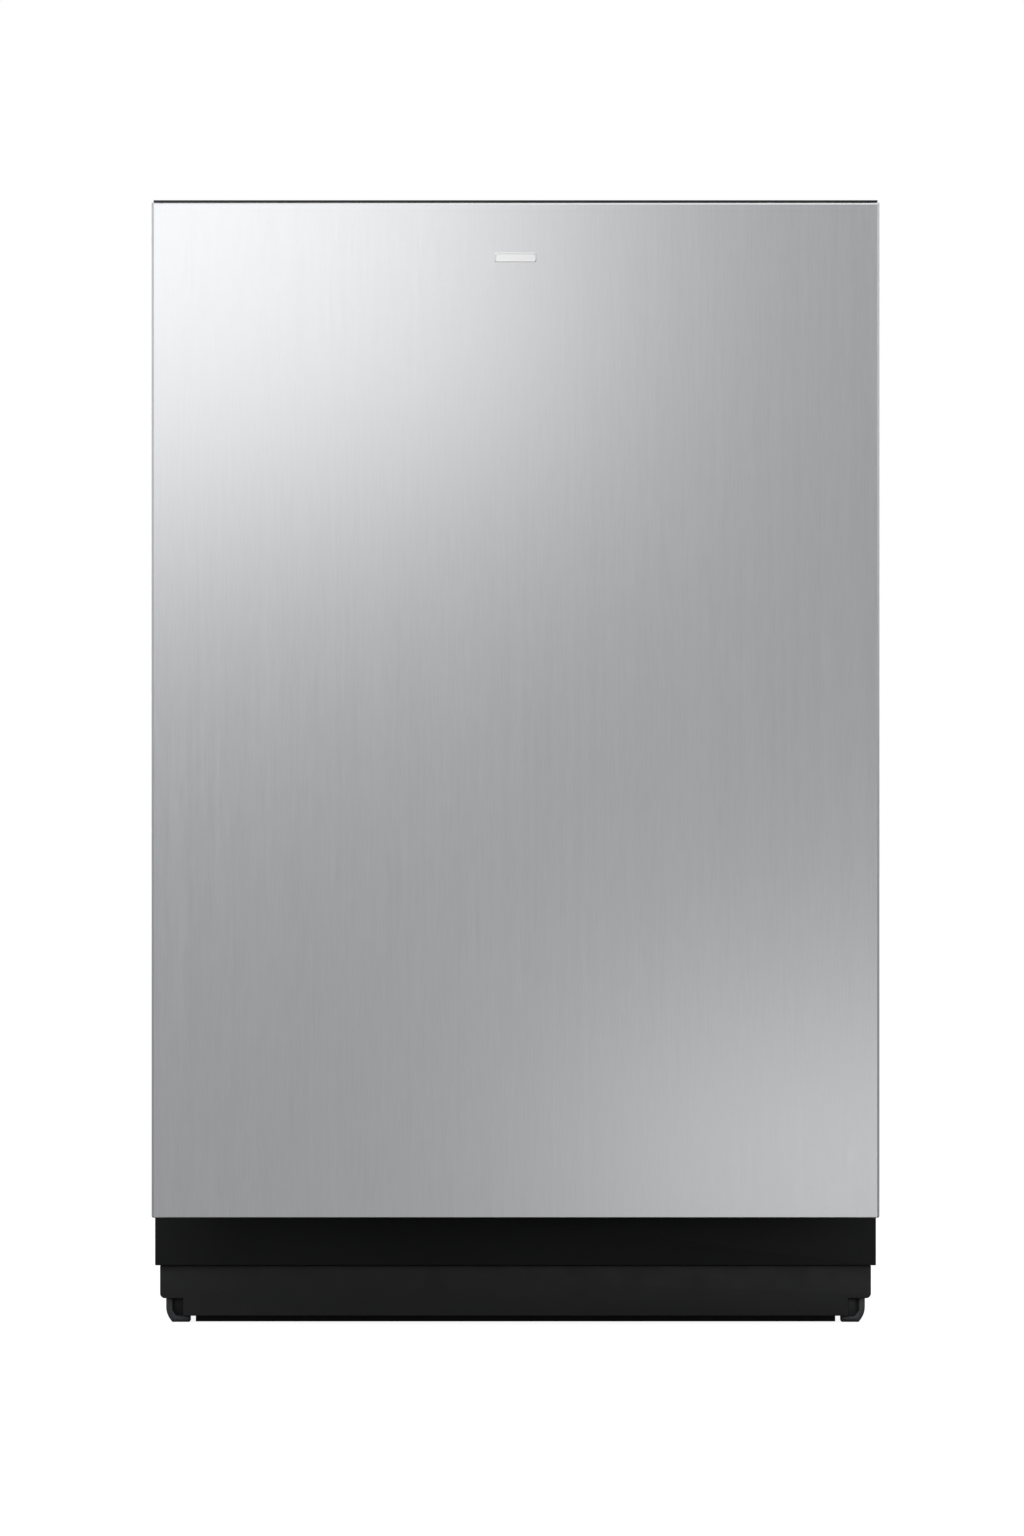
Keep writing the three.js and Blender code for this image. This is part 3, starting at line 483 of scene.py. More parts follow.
def bead_rise(u, v, beads, half_width, depth):
    """How far a sheet is pressed out at a point, by round-ended beads given as ((u0, v0), (u1, v1))."""
    most = 0.0
    for (u0, v0), (u1, v1) in beads:
        run = (u1 - u0, v1 - v0)
        share = ((u - u0) * run[0] + (v - v0) * run[1]) / (run[0] ** 2 + run[1] ** 2)
        share = min(1.0, max(0.0, share))
        distance = math.hypot(u - u0 - share * run[0], v - v0 - share * run[1])
        if distance < half_width:
            most = max(most, 0.5 * (1 + math.cos(math.pi * distance / half_width)))
    return depth * most


def upright_beads(places, start, end):
    return [((u, start), (u, end)) for u in places]


def level_beads(places, start, end):
    return [((start, v), (end, v)) for v in places]


def pressed_sheet(axis, low, high, level, beads, half_width, depth, step=6, extra=((), ()), opening=None):
    """A flat sheet across an axis at a level, between two corners of its box, stiffened by pressed beads."""
    spans = zip(across(axis, low), across(axis, high), extra)
    us, vs = [lines(start, end, step, more) for start, end, more in spans]
    rows = []
    for v in vs:
        rows.append([on_axis(axis, u, v, level + bead_rise(u, v, beads, half_width, depth)) for u in us])
    return grid(rows, opening)


def screw_head(origin, direction, radius=3.6):
    """A pan-head screw with a six-lobed socket."""
    dome = ((1, -0.1), (1, 0.3), (0.85, 0.5), (0.6, 0.58))
    rim = [ring(radius * share, radius * height) for share, height in dome]
    socket = [ring(radius * 0.4, radius * height, 24, 6, radius * 0.06) for height in (0.58, 0.2)]
    return turned(lofted(rim + socket), origin, direction)


def screws(name, places, direction, body="cabinet"):
    new_piece(name, joined([screw_head(p, direction) for p in places]), "zinc_steel", body)


def extent(node, axis, keep):
    """Lowest and highest value on an axis among a node's corners that keep(corner) accepts."""
    corners = [vertex.co / MM for vertex in NODES[node].data.vertices]
    values = [getattr(c, axis) for c in corners if keep(c)]
    return min(values), max(values)


def filleted(path, radius, closed=False, steps=4):
    """A path through points with its corners rounded."""
    corners = [Vector(p) for p in path]
    count = len(corners)
    out = []
    for i, corner in enumerate(corners):
        if not closed and i in (0, count - 1):
            out.append(corner)
            continue
        back = corners[i - 1] - corner
        on = corners[(i + 1) % count] - corner
        reach = min(radius, back.length / 2, on.length / 2)
        start = corner + back.normalized() * reach
        end = corner + on.normalized() * reach
        for k in range(steps + 1):
            t = k / steps
            out.append(start * (1 - t) ** 2 + corner * 2 * t * (1 - t) + end * t ** 2)
    return out


def wires(name, paths, radius, material, body, replaced=(), loops=()):
    """Round wires along open paths and closed loops, as one piece."""
    data = bpy.data.curves.new(name, "CURVE")
    data.dimensions = "3D"
    data.bevel_depth = radius * MM
    data.bevel_resolution = 2
    data.use_fill_caps = True
    for path, cyclic in [(path, False) for path in paths] + [(loop, True) for loop in loops]:
        spline = data.splines.new("POLY")
        spline.points.add(len(path) - 1)
        for point, place in zip(spline.points, path):
            point.co = (*(Vector(place) * MM), 1.0)
        spline.use_cyclic_u = cyclic
        spline.use_smooth = True
    placed(name, data, material, body, replaced)


# ---- door ----
def door_skin():
    """The steel pan: a flat front with chamfered sides and top, folded back and hemmed inwards."""
    low, high = box("door_outer_panel")
    front, back = low.y, high.y
    chamfer = 1.9
    lower_edge = 0.3  # the lower edge's chamfer, as a share of the others
    sheet = 0.8
    hem = 9
    profile = [(chamfer, front), (0, front + chamfer), (0, back - 0.5), (0.5, back), (hem, back)]
    profile += [(hem, back - sheet), (sheet, back - sheet), (sheet, front + 2 * chamfer)]
    loops = []
    for inset, y in profile:
        lower = inset * (1 - lower_edge) if inset <= chamfer else 0
        corner = max(1.6 - inset, 0.4)
        loops.append(framed(low - Vector((0, 0, lower)), high, inset, corner, y))
    new_piece("door_skin", lofted(loops), "door_steel", "door", ["door_outer_panel"])


def badge_plate():
    """A blank satin plate: a raised rim round a sunk field."""
    low, high = box("door_badge")
    rim, sink, edge = 0.7, 0.35, 0.25
    steps = [(0, high.y + edge), (0, low.y + edge), (edge, low.y), (rim, low.y)]
    steps += [(rim + 0.3, low.y + sink), (rim + 0.5, low.y + sink)]
    shape = lofted([framed(low, high, inset, 1, y) for inset, y in steps])
    new_piece("badge_plate", shape, "badge_steel", "door", ["door_badge"])


def door_edge_screws():
    """Screws through the liner's side walls into the door frame."""
    low, high = box("door_inner_liner")
    arm_top = box("hinge_arm_left")[1].z
    heights = evenly(arm_top + 50, high.z - 20, 3)
    for name, side in SIDES:
        x = high.x if side > 0 else low.x
        screws(f"door_screws_{name}", [(x, high.y - 7, z) for z in heights], (side, 0, 0), "door")


def touch_marks():
    """A row of plain raised rings that mark the touch keys on the control strip."""
    top = box("control_strip")[1].z
    lens_low, lens_high = box("display_lens")
    y = (lens_low.y + lens_high.y) / 2
    first, pitch, count = 22, 26, 9
    inner, outer, rise = 2.1, 2.9, 0.25
    crown = rise * 0.6
    profile = [(outer, -rise), (outer, 0), (outer - 0.3, crown), (inner, crown), (inner, -rise)]
    places = [(lens_low.x - first - k * pitch, y, top - crown) for k in range(count)]
    new_piece("touch_marks", joined([turned(lathe(profile), p) for p in places]), "grey_plastic", "door")


# ---- cabinet ----
def side_panel(name, side):
    """A painted side sheet with long upright beads pressed inwards and a cut-away lower front corner."""
    node = f"side_panel_{name}"
    low, high = box(node)
    notch_z = extent(node, "z", lambda c: c.y < low.y + 1)[0]
    notch_y = extent(node, "y", lambda c: c.z < low.z + 1)[0]
    columns = shares(low.y, high.y, (0.2, 0.4, 0.6, 0.8))
    beads = upright_beads(columns, notch_z + 70, high.z - 90)
    beads += level_beads([low.z + 45], notch_y + 50, high.y - 50)
    shape = pressed_sheet(
        "x", low, high, (low.x + high.x) / 2, beads, half_width=16, depth=-side * 2.6,
        extra=((notch_y,), (notch_z,)), opening=lambda p: p.y < notch_y and p.z < notch_z,
    )
    new_piece(f"side_sheet_{name}", shape, "black_paint", "cabinet", [node], sheet=CABINET_SHEET)
    inset = 9
    outer = high.x if side > 0 else low.x
    heights = (notch_z + 30, (notch_z + high.z) / 2, high.z - 20)
    places = [(outer, y, z) for y in (low.y + inset, high.y - inset) for z in heights]
    screws(f"side_screws_{name}", places, (side, 0, 0))


def rear_panel():
    """A zinc back sheet with a bay for the connections, level beads and rows of vent slots."""
    low, high = box("rear_panel")
    middle_z = (low.z + high.z) / 2
    bay_edge = high.x - 60
    bay_x = extent("rear_panel", "x", lambda c: abs(c.x) < bay_edge)[1]
    bay_z = extent("rear_panel", "z", lambda c: abs(c.x) < bay_edge and c.z < middle_z)[1]
    beads = level_beads(shares(bay_z, high.z, (0.2, 0.4, 0.6, 0.8)), low.x + 70, high.x - 70)
    beads += upright_beads((low.x + 35, high.x - 35), bay_z + 60, high.z - 60)
    slot_spans = ((60, 110), (130, 180))
    slot_half = 2
    slot_rows = [bay_z + 60 + 14 * k for k in range(4)]
    slot_edges = [z + sign * slot_half for z in slot_rows for sign in (-1, 1)]
    slot_ends = [sign * x for sign in (-1, 1) for span in slot_spans for x in span]

    def opening(p):
        if abs(p.x) < bay_x and p.z < bay_z:
            return True
        in_row = any(abs(p.z - z) < slot_half for z in slot_rows)
        return in_row and any(start < abs(p.x) < end for start, end in slot_spans)

    shape = pressed_sheet(
        "y", low, high, (low.y + high.y) / 2, beads, half_width=17, depth=3.5,
        extra=((-bay_x, bay_x, *slot_ends), (bay_z, *slot_edges)), opening=opening,
    )
    new_piece("rear_sheet", shape, "zinc_steel", "cabinet", ["rear_panel"], sheet=CABINET_SHEET)
    inset = 9
    heights = evenly(low.z + 20, high.z - 15, 5)
    places = [(x, high.y, z) for x in (low.x + inset, high.x - inset) for z in heights]
    places += [(x, high.y, high.z - inset) for x in (-190, -60, 60, 190)]
    screws("rear_screws", places, BACK)


def top_cover():
    """A zinc top sheet with beads from front to back, over a channel that ties the two sides."""
    low, high = box("top_cover")
    columns = shares(low.x, high.x, (0.18, 0.34, 0.5, 0.66, 0.82))
    beads = upright_beads(columns, low.y + 75, high.y - 60)
    shape = pressed_sheet("z", low, high, high.z - 0.6, beads, half_width=18, depth=3.2)
    new_piece("top_sheet", shape, "zinc_steel", "cabinet", ["top_cover"], sheet=CABINET_SHEET)
    bar_front, bar_back, inset = low.y + 2.5, low.y + 34.4, 4
    bend, lip_z, floor_z = 1.4, high.z - 1.5, low.z + 0.7
    section = [(bar_front, lip_z), (bar_front, low.z + 2), (bar_front + 1.5, floor_z),
               (bar_back - bend, floor_z), (bar_back, low.z + 2), (bar_back, lip_z)]
    rows = [[(x, y, z) for y, z in section] for x in lines(low.x + inset, high.x - inset, 60)]
    new_piece("front_cross_bar", grid(rows), "zinc_steel", "cabinet", sheet=CABINET_SHEET)
    depths = (low.y + 20, (low.y + high.y) / 2, high.y - 20)
    places = [(x, y, high.z) for x in (low.x + 12, high.x - 12) for y in depths]
    places += [(x, y, high.z) for x in (-140, 0, 140) for y in (low.y + 18, high.y - 14)]
    screws("top_screws", places, UP)


def threaded_rod(core, crest, pitch, turns):
    """A rod with rounded ridges for its thread, standing on the origin."""
    profile = [(core, 0)]
    for k in range(turns):
        ridge = ((core, 0.2), (crest, 0.45), (crest, 0.55), (core, 0.8))
        profile += [(radius, pitch * (k + share)) for radius, share in ridge]
    return lathe(profile + [(core, pitch * turns)], steps=20)


def foot(node, side):
    """A moulded J foot: its wall sweeps in to the pad, a web joins them, and a threaded stem goes up."""
    low, high = box(node)
    inner, outer = sorted((abs(low.x), abs(high.x)))
    wall, pad, sweep = 5.8, 5.6, 5.2
    bend_z = (high.z - low.z) * 0.6
    outline = [(outer, high.z)]
    for share in evenly(0, 1, 7):
        outline.append((outer - sweep * share ** 2.2, low.z + bend_z * (1 - share)))
    wall_x, pad_z = outer - wall, low.z + pad
    outline += [(inner + 1, low.z), (inner, low.z + 1), (inner, pad_z - 1), (inner + 1, pad_z)]
    outline += [(wall_x - 3, pad_z), (wall_x, pad_z + 4), (wall_x, high.z)]
    web = [(wall_x + 1, high.z), (wall_x + 1, pad_z - 1), (inner + 0.5, pad_z - 1), (inner + 0.5, high.z)]
    middle = (low.y + high.y) / 2
    parts = []
    for flat, start, end, edge in ((outline, low.y, high.y, 1.8), (web, middle - 2, middle + 2, 0.4)):
        # both outlines are clockwise, so they are reversed on the right and mirrored on the left
        anticlockwise = [(side * x, z) for x, z in flat][::-side]
        parts.append(plate(anticlockwise, start, end, edge, "y"))
    stem = threaded_rod(core=3, crest=3.6, pitch=2, turns=10)
    parts.append(turned(stem, (side * (inner + wall_x) / 2, middle, high.z - 3)))
    new_piece(f"{node}_shell", joined(parts), "foot_plastic", node, [node])


def seal_lip():
    """The floor strip: a rubber lip that tucks up behind the toe panel. Its rubber is far darker and duller
    than the other rubber: partly the strip's own black, partly painted shade for the shadowed gap under the
    toe panel.
    """
    low, high = box("kick_seal_strip")
    behind = box("toe_panel")[1].y + 0.2
    lip, top = 1.3, high.z + 5
    outline = [(low.y, low.z), (high.y, low.z), (behind + lip, low.z + 2), (behind + lip, top)]
    outline += [(behind, top), (behind, high.z), (low.y, high.z)]
    shape = plate(outline, low.x, high.x, edge=0.3, axis="x")
    new_piece("floor_lip", shape, "lip_rubber", "cabinet", ["kick_seal_strip"])


def toe_lip():
    """A lip along the toe panel's top edge, stepped back to close the joint with the panel above."""
    low, high = box("toe_panel")
    behind = box("access_panel")[1].y + 0.2
    lip = behind + 0.8
    foot_z, step_z, top = high.z - 3, high.z - 0.2, high.z + 4
    outline = [(high.y, foot_z), (lip, foot_z), (lip, top), (behind, top), (behind, step_z), (high.y, step_z)]
    shape = plate(outline, low.x + 0.5, high.x - 0.5, edge=0.1, axis="x")
    new_piece("toe_lip", shape, "toe_plastic", "cabinet")


def access_cover():
    """The recessed panel under the door."""
    shape = rounded_block(*box("access_panel"), corner=0.8, edge=0.8, axis="y")
    new_piece("access_cover", shape, "kick_paint", "cabinet", ["access_panel"])


def toe_cover():
    """The toe panel with its narrower tongue."""
    low, high = box("toe_panel")
    corner = 4
    tongue = extent("toe_panel", "x", lambda c: c.z < low.z + 1)[1]
    shoulder = extent("toe_panel", "z", lambda c: c.x < low.x + 1)[0]
    outline = [(-tongue + 1, low.z), (tongue - 1, low.z), (tongue, low.z + 1), (tongue, shoulder - corner)]
    outline += arc((high.x - corner, shoulder), corner, -90, 0, 5) + [(high.x, high.z), (low.x, high.z)]
    outline += arc((low.x + corner, shoulder), corner, 180, 270, 5)
    outline += [(-tongue, shoulder - corner), (-tongue, low.z + 1)]
    shape = plate(outline, low.y, high.y, edge=0.5, axis="y")
    new_piece("toe_cover", shape, "toe_plastic", "cabinet", ["toe_panel"])


def round_port(node):
    """The middle and the radius of the round port at a node's back."""
    back = box(node)[1].y
    spans = [extent(node, axis, lambda c: c.y > back - 1) for axis in "xz"]
    x, z = [(start + end) / 2 for start, end in spans]
    return Vector((x, back, z)), spans[0][1] - x


def inlet_thread():
    """The thread round the water inlet."""
    port, radius = round_port("inlet_valve")
    pitch, turns, length = 2.6, 6, 16
    profile = [(radius - 1, 0)]
    for k in range(turns):
        profile += [(radius, pitch * k), (radius + 1.1, pitch * (k + 0.5))]
    profile += [(radius, length), (radius - 1, length)]
    thread = turned(lathe(profile, bored=True), port - Vector((0, length + 0.5, 0)), BACK)
    new_piece("inlet_thread", thread, "white_plastic", "cabinet")


def drain_barbs():
    """The barbs that hold the hose on the drain spout."""
    port, radius = round_port("drain_pump")
    pitch, barb, bore = 7, 6.5, radius - 2
    profile = [(bore, 0)]
    for k in range(4):
        profile += [(radius + 1.6, pitch * k), (radius + 0.2, pitch * k + barb)]
    profile += [(bore, 27.6)]
    barbs = turned(lathe(profile, bored=True), port - Vector((0, 28, 0)), BACK)
    new_piece("drain_barbs", barbs, "black_plastic", "cabinet")


def mains_inlet():
    """A flange round the mains inlet, and its three pins."""
    low, high = box("power_inlet")
    middle = (low + high) / 2
    rim = 4
    flange = rounded_block((low.x - rim, high.y - 9.6, low.z - rim),
                           (high.x + rim, high.y - 7, high.z + rim), corner=5, edge=0.8, axis="y")
    new_piece("inlet_flange", flange, "black_plastic", "cabinet")
    half = Vector((1, 6, 3))
    pins = []
    for x in (-9, 0, 9):
        pin = Vector((middle.x + x, high.y - 10, middle.z - 2))
        pins.append(rounded_block(pin - half, pin + half, corner=0.6, edge=0.3, axis="y"))
    new_piece("inlet_pins", joined(pins), "zinc_steel", "cabinet")


# ---- tub ----
TUB_CORNER = 30
TUB_WALL = 1.5


def tub_inside():
    """Half the tub's inner width, and the height of its inner top."""
    back = box("tub_shell")[1].y
    return [extent("tub_shell", axis, lambda c: c.y > back - 10)[1] - TUB_WALL for axis in "xz"]


def tub_outline():
    """The tub's inner arch in (x, z), from the left foot over the top to the right foot."""
    half, top = tub_inside()
    arch_x, arch_z = half - TUB_CORNER, top - TUB_CORNER
    rise = lines(box("tub_shell")[0].z, arch_z, 9)
    path = [(-half, z) for z in rise]
    path += arc((-arch_x, arch_z), TUB_CORNER, 180, 90, 8)[1:-1]
    path += [(x, top) for x in lines(-arch_x, arch_x, 12)]
    path += arc((arch_x, arch_z), TUB_CORNER, 90, 0, 8)[1:-1]
    return path + [(half, z) for z in reversed(rise)]


def tub_wrap():
    """A deep-drawn stainless tub: its flange and ribbed walls."""
    half = tub_inside()[0]
    low, high = box("tub_shell")
    front, back = low.y + 0.6, high.y - 0.8
    flange = high.x - half
    mid, bend = 0.7, 3
    section = [(flange - 0.5, front), (flange * 0.6, front), (bend + mid, front)]
    for angle in map(math.radians, (22, 45, 67, 90)):
        section.append((mid + bend * (1 - math.sin(angle)), front + bend * (1 - math.cos(angle))))
    section += [(mid, y) for y in lines(front + bend, back, 11)[1:]]
    rows = [low.z + rise for rise in (110, 220, 330)] + [box("rack_rail_left")[1].z + 70]
    beads = level_beads(rows, low.y + 70, high.y - 60)

    def wall_rise(x, y, z):
        return bead_rise(y, z, beads, half_width=20, depth=3.5) if abs(x) > half - 1 else 0.0

    shape = swept(tub_outline(), section, closed=False, rise=wall_rise)
    new_piece("tub_wrap", shape, "tub_steel", "cabinet", ["tub_shell"], sheet=CABINET_SHEET)


def tub_back():
    """The tub's back, with upright ribs."""
    half, top = tub_inside()
    low, high = box("tub_shell")
    columns = [sign * x for sign in (-1, 1) for x in (80, 150, 220)]
    beads = upright_beads(columns, low.z + 70, top - 80)

    def outside_corner(p):
        over = (abs(p.x) - half + TUB_CORNER, p.z - top + TUB_CORNER)
        return min(over) > 0 and math.hypot(*over) > TUB_CORNER + 3

    shape = pressed_sheet("y", (-half, 0, low.z), (half, 0, top), high.y - 0.8, beads,
                          half_width=22, depth=4, step=8, opening=outside_corner)
    new_piece("tub_back", shape, "tub_steel", "cabinet", sheet=CABINET_SHEET)


def gasket():
    """A hollow bulb seal round the flange."""
    low, high = box("tub_gasket")
    inner_edge = extent("tub_gasket", "x", lambda c: 0 < c.x < high.x - 1)[0]
    offset = (high.x + inner_edge) / 2 - tub_inside()[0]
    middle, thick = (low.y + high.y) / 2, (high.y - low.y) / 2
    bulb = [(offset + 4.6 * u, middle + thick * v) for u, v, _ in ring(1, 0, 14)]
    shape = swept([(x, z) for x, z in tub_outline() if z > low.z - 1], bulb, closed=True)
    new_piece("gasket_bulb", shape, "rubber", "cabinet", ["tub_gasket"])


# ---- door liner ----
def hole_in(node, rim):
    """The opening a rim inside a node's box, as (x0, z0, x1, z1)."""
    low, high = box(node)
    return low.x + rim, low.z + rim, high.x - rim, high.z - rim


def liner():
    """The stainless inner door: folded sides, pressed beads, and openings for the dispenser and vent."""
    low, high = box("door_inner_liner")
    sheet = 0.9
    side, level = sheet / 2, high.y - sheet / 2
    fold, edge, return_fold = 3, 7, 9
    profile = [(side + return_fold, low.y + side), (side, low.y + side), (side, level - fold)]
    profile += [(side + fold - u, level - fold + v) for u, v in arc((0, 0), fold, 0, 90, 4)[1:]]
    profile += [(edge, level)]
    loops = [framed(low, high, inset, max(8 - inset, 1.5), y) for inset, y in profile]
    folds = lofted(loops, caps=False)
    holes = (hole_in("dispenser_housing", 5.4), hole_in("vent_cover", 9))

    def opening(p):
        return any(x0 < p.x < x1 and z0 < p.z < z1 for x0, z0, x1, z1 in holes)

    first, pitch, margin = 60, 52, 85
    rows = [low.z + first + pitch * k for k in range(6)]
    rows += [high.z - 50 - pitch * k for k in range(3)]
    beads = upright_beads((low.x + 30, high.x - 30), low.z + 35, high.z - 35)
    beads += level_beads(rows, low.x + margin, high.x - margin)
    inwards = Vector((edge, 0, edge))
    pressing = pressed_sheet(
        "y", low + inwards, high - inwards, level, beads, half_width=17, depth=-3.5,
        extra=([x for hole in holes for x in hole[::2]], [z for hole in holes for z in hole[1::2]]),
        opening=opening,
    )
    shape = joined([folds, pressing])
    new_piece("liner_pressing", shape, "tub_steel", "door", ["door_inner_liner"], sheet=sheet)


def lid_cover():
    """The sliding dispenser lid with a raised border and a finger catch."""
    low, high = box("dispenser_lid")
    face = extent("dispenser_lid", "y", lambda c: abs(c.x - low.x) < 5)[1]
    block = rounded_block(low, (high.x, face, high.z), corner=4, edge=0.9, axis="y")
    steps = ((4, -0.2), (4, 0.4), (5.4, 0.4), (5.4, -0.2))
    border = [framed(low, high, inset, 2, face + rise) for inset, rise in steps]
    catch = rounded_block((-14, face - 0.5, low.z + 9), (14, high.y, low.z + 16),
                          corner=2.5, edge=0.6, axis="y")
    shape = joined([block, lofted(border + [border[0]], caps=False), catch])
    new_piece("lid_cover", shape, "dark_grey_plastic", "dispenser_lid", ["dispenser_lid"])


def cap_grip():
    """The turning rinse-aid cap with its grip bar."""
    low, high = box("rinse_aid_cap")
    middle = (low + high) / 2
    radius = (high.x - low.x) / 2
    skirt = high.y - 1.5
    height = skirt - low.y
    steps = [(0.96, 0), (0.96, height - 3), (1, height - 2.6), (1, height - 0.5), (0.95, height)]
    steps += [(0.72, height), (0.68, height - 1)]
    cap = lathe([(radius * share, rise) for share, rise in steps], steps=48)
    reach, half = radius * 0.62, 2
    grip = rounded_block((middle.x - reach, skirt - half, middle.z - half),
                         (middle.x + reach, high.y, middle.z + half), corner=1.8, edge=0.7, axis="y")
    shape = joined([turned(cap, (middle.x, low.y, middle.z), BACK), grip])
    new_piece("cap_grip", shape, "dark_grey_plastic", "rinse_aid_cap", ["rinse_aid_cap"])


# ---- racks ----
def basket_size(node):
    """The wire basket's box: from its rim, and its floor away from the middle and the sides."""
    top = extent(node, "z", lambda c: abs(c.x) < 200)[1]
    floor = extent(node, "z", lambda c: 50 < abs(c.x) < 200)[0]
    (x0, x1), (y0, y1) = [extent(node, axis, lambda c: c.z > top - 1) for axis in "xy"]
    return Vector((x0, y0, floor)), Vector((x1, y1, top))


def basket_wires(low, high, wire, pitch_x, pitch_y):
    """U-shaped wires both ways, and rings at the rim and halfway up."""
    x0, x1, y0, y1 = low.x + wire, high.x - wire, low.y + wire, high.y - wire
    floor, rim = low.z + wire, high.z - 1.4 * wire
    lift = floor + 1.8 * wire
    bend = 14
    paths = []
    for x in lines(x0 + bend, x1 - bend, pitch_x):
        paths.append(filleted([(x, y0, rim), (x, y0, floor), (x, y1, floor), (x, y1, rim)], bend))
    for y in lines(y0 + bend, y1 - bend, pitch_y):
        paths.append(filleted([(x0, y, rim), (x0, y, lift), (x1, y, lift), (x1, y, rim)], bend))
    rings = []
    for z in (rim, floor * 0.45 + rim * 0.55):
        corners = [(x0, y0, z), (x1, y0, z), (x1, y1, z), (x0, y1, z)]
        rings.append(filleted(corners, 2 * bend, closed=True))
    return paths, rings


def tine_rows(low, high, wire, places, margin, height, lean, pitch):
    """Base wires at some shares of the width, each with upright hairpin tines along Y."""
    floor = low.z + 4.6 * wire
    tip = floor + height
    y0, y1 = low.y + margin, high.y - margin
    paths = []
    for x in shares(low.x, high.x, places):
        paths.append([(x, y0, floor), (x, y1, floor)])
        for y in lines(y0 + pitch / 2, y1 - pitch / 2, pitch):
            hairpin = [(x, y - 4, floor), (x + lean, y - 3, tip), (x + lean, y + 3, tip), (x, y + 4, floor)]
            paths.append(filleted(hairpin, 3, steps=3))
    return paths


def lower_rack():
    """Round coated wires with plate tines, on moulded wheel carriers."""
    low, high = basket_size("lower_rack")
    wire = 1.9
    paths, rings = basket_wires(low, high, wire, pitch_x=36, pitch_y=40)
    rows = (0.12, 0.25, 0.38, 0.62, 0.75, 0.88)
    paths += tine_rows(low, high, wire, rows, margin=35, height=88, lean=9, pitch=27)
    wires("lower_basket", paths, wire, "rack_wire", "lower_rack", ["lower_rack"], rings)
    carriers = []
    for place in PLACES:
        for name, side in SIDES:
            wheel = box(f"wheel_{place}_{name}")
            carriers += wheel_carrier((wheel[0] + wheel[1]) / 2, side, high.x, low.z + 16)
    new_piece("wheel_carriers", joined(carriers), "grey_plastic", "lower_rack")


def wheel_carrier(centre, side, basket_x, top):
    """A tapered moulding that clips on the basket's side and holds a wheel's axle, and the axle itself."""
    inner, outer = basket_x - 5.5, basket_x + 4.5
    axle_end = 256.2
    length = axle_end - outer
    outline = [(centre.y + 26, top), (centre.y - 26, top)] + arc((centre.y, centre.z), 8, 195, 345, 8)
    block = plate(outline, *sorted((side * inner, side * outer)), edge=1, axis="x")
    profile = [(2.8, 0), (2.8, length - 1), (5, length - 0.9), (4.6, length), (2, length + 0.3)]
    return block, turned(lathe(profile, steps=20), (side * outer, centre.y, centre.z), (side, 0, 0))


def upper_rack():
    """Round coated wires with cup tines, cup shelves of wire along the sides, side brackets and the arm's
    water pipe.
    """
    low, high = basket_size("upper_rack")
    wire = 1.8
    margin = 30
    paths, rings = basket_wires(low, high, wire, pitch_x=34, pitch_y=40)
    rows = (0.3, 0.42, 0.58, 0.7)
    paths += tine_rows(low, high, wire, rows, margin, height=52, lean=6, pitch=30)
    shelf_z = low.z + (high.z - low.z) * 0.58
    for edge, side in ((low.x, 1), (high.x, -1)):
        paths += cup_shelf(edge + side * 7, side, low.y + margin, high.y - margin, shelf_z)
    wires("upper_basket", paths, wire, "rack_wire", "upper_rack", ["upper_rack"], rings)
    bracket_x = box("upper_rack")[1].x
    y0, y1 = extent("upper_rack", "y", lambda c: c.x > bracket_x - 1)
    slider_low, slider_high = box("rack_slider_left")
    middle_z = (slider_low.z + slider_high.z) / 2
    parts = []
    for side in (-1, 1):
        x0, x1 = sorted((side * (high.x - 5), side * bracket_x))
        parts.append(rounded_block((x0, y0, middle_z - 6), (x1, y1, middle_z + 6),
                                   corner=3, edge=1.2, axis="x"))
    new_piece("slide_brackets", joined(parts), "grey_plastic", "upper_rack")
    rack_pipe(low.z)


def cup_shelf(x, side, y0, y1, z):
    """A ladder of wires along one side, a little below level towards the middle."""
    tip_x, tip_z = x + side * 88, z - 8
    paths = [filleted([(x, y0, z), (tip_x, y0, tip_z), (tip_x, y1, tip_z), (x, y1, z)], 12)]
    for y in lines(y0 + 20, y1 - 20, 46):
        paths.append([(x, y, z), (tip_x, y, tip_z)])
    return paths


def rack_pipe(rack_floor):
    """A flat moulded duct under the upper rack, from the back coupling to the spray arm's pin."""
    arm_low, arm_high = box("upper_spray_arm")
    centre = (arm_low + arm_high) / 2
    half = 11
    bottom, top = arm_low.z + 18.5, rack_floor + 1
    rear = extent("upper_rack", "y", lambda c: abs(c.x) < 11.5 and c.z < rack_floor)[1]
    duct = rounded_block((-half, centre.y - half, bottom), (half, rear, top), corner=5, edge=2, axis="y")
    collar = [(4.4, -11), (4.4, 1), (9, 2), (10, 4), (10, 8), (6, 8.5)]
    mouth = [(8, 0), (9.6, 0), (10.4, -3), (9, -6), (8, -6)]
    shape = joined([
        duct, turned(lathe(collar), (centre.x, centre.y, arm_high.z)),
        turned(lathe(mouth, bored=True), (0, rear, (bottom + top) / 2), BACK),
    ])
    new_piece("rack_water_pipe", shape, "dark_grey_plastic", "upper_rack")


def rack_handle(node, body):
    """A curved grip bar with a finger hollow, clipped to the rack's front rim."""
    low, high = box(node)
    front, back, edge = low.y, high.y, 1.2
    outline = rounded_rectangle((low.x, low.z), (high.x, high.z), 8, 6)
    hollow = rounded_rectangle((low.x + 9, low.z + 5), (high.x - 9, high.z - 5), 5, 6)
    steps = [(outline, edge, back), (outline, 0, back - edge), (outline, 0, front + edge)]
    steps += [(outline, 0.4, front + 0.4), (outline, edge, front)]
    steps += [(hollow, 0, front), (hollow, 0.8, front + 1.6)]
    shape = lofted([[(x, y, z) for x, z in inset_outline(flat, inset)] for flat, inset, y in steps])
    new_piece(f"{body}_grip", shape, "grey_plastic", body, [node])


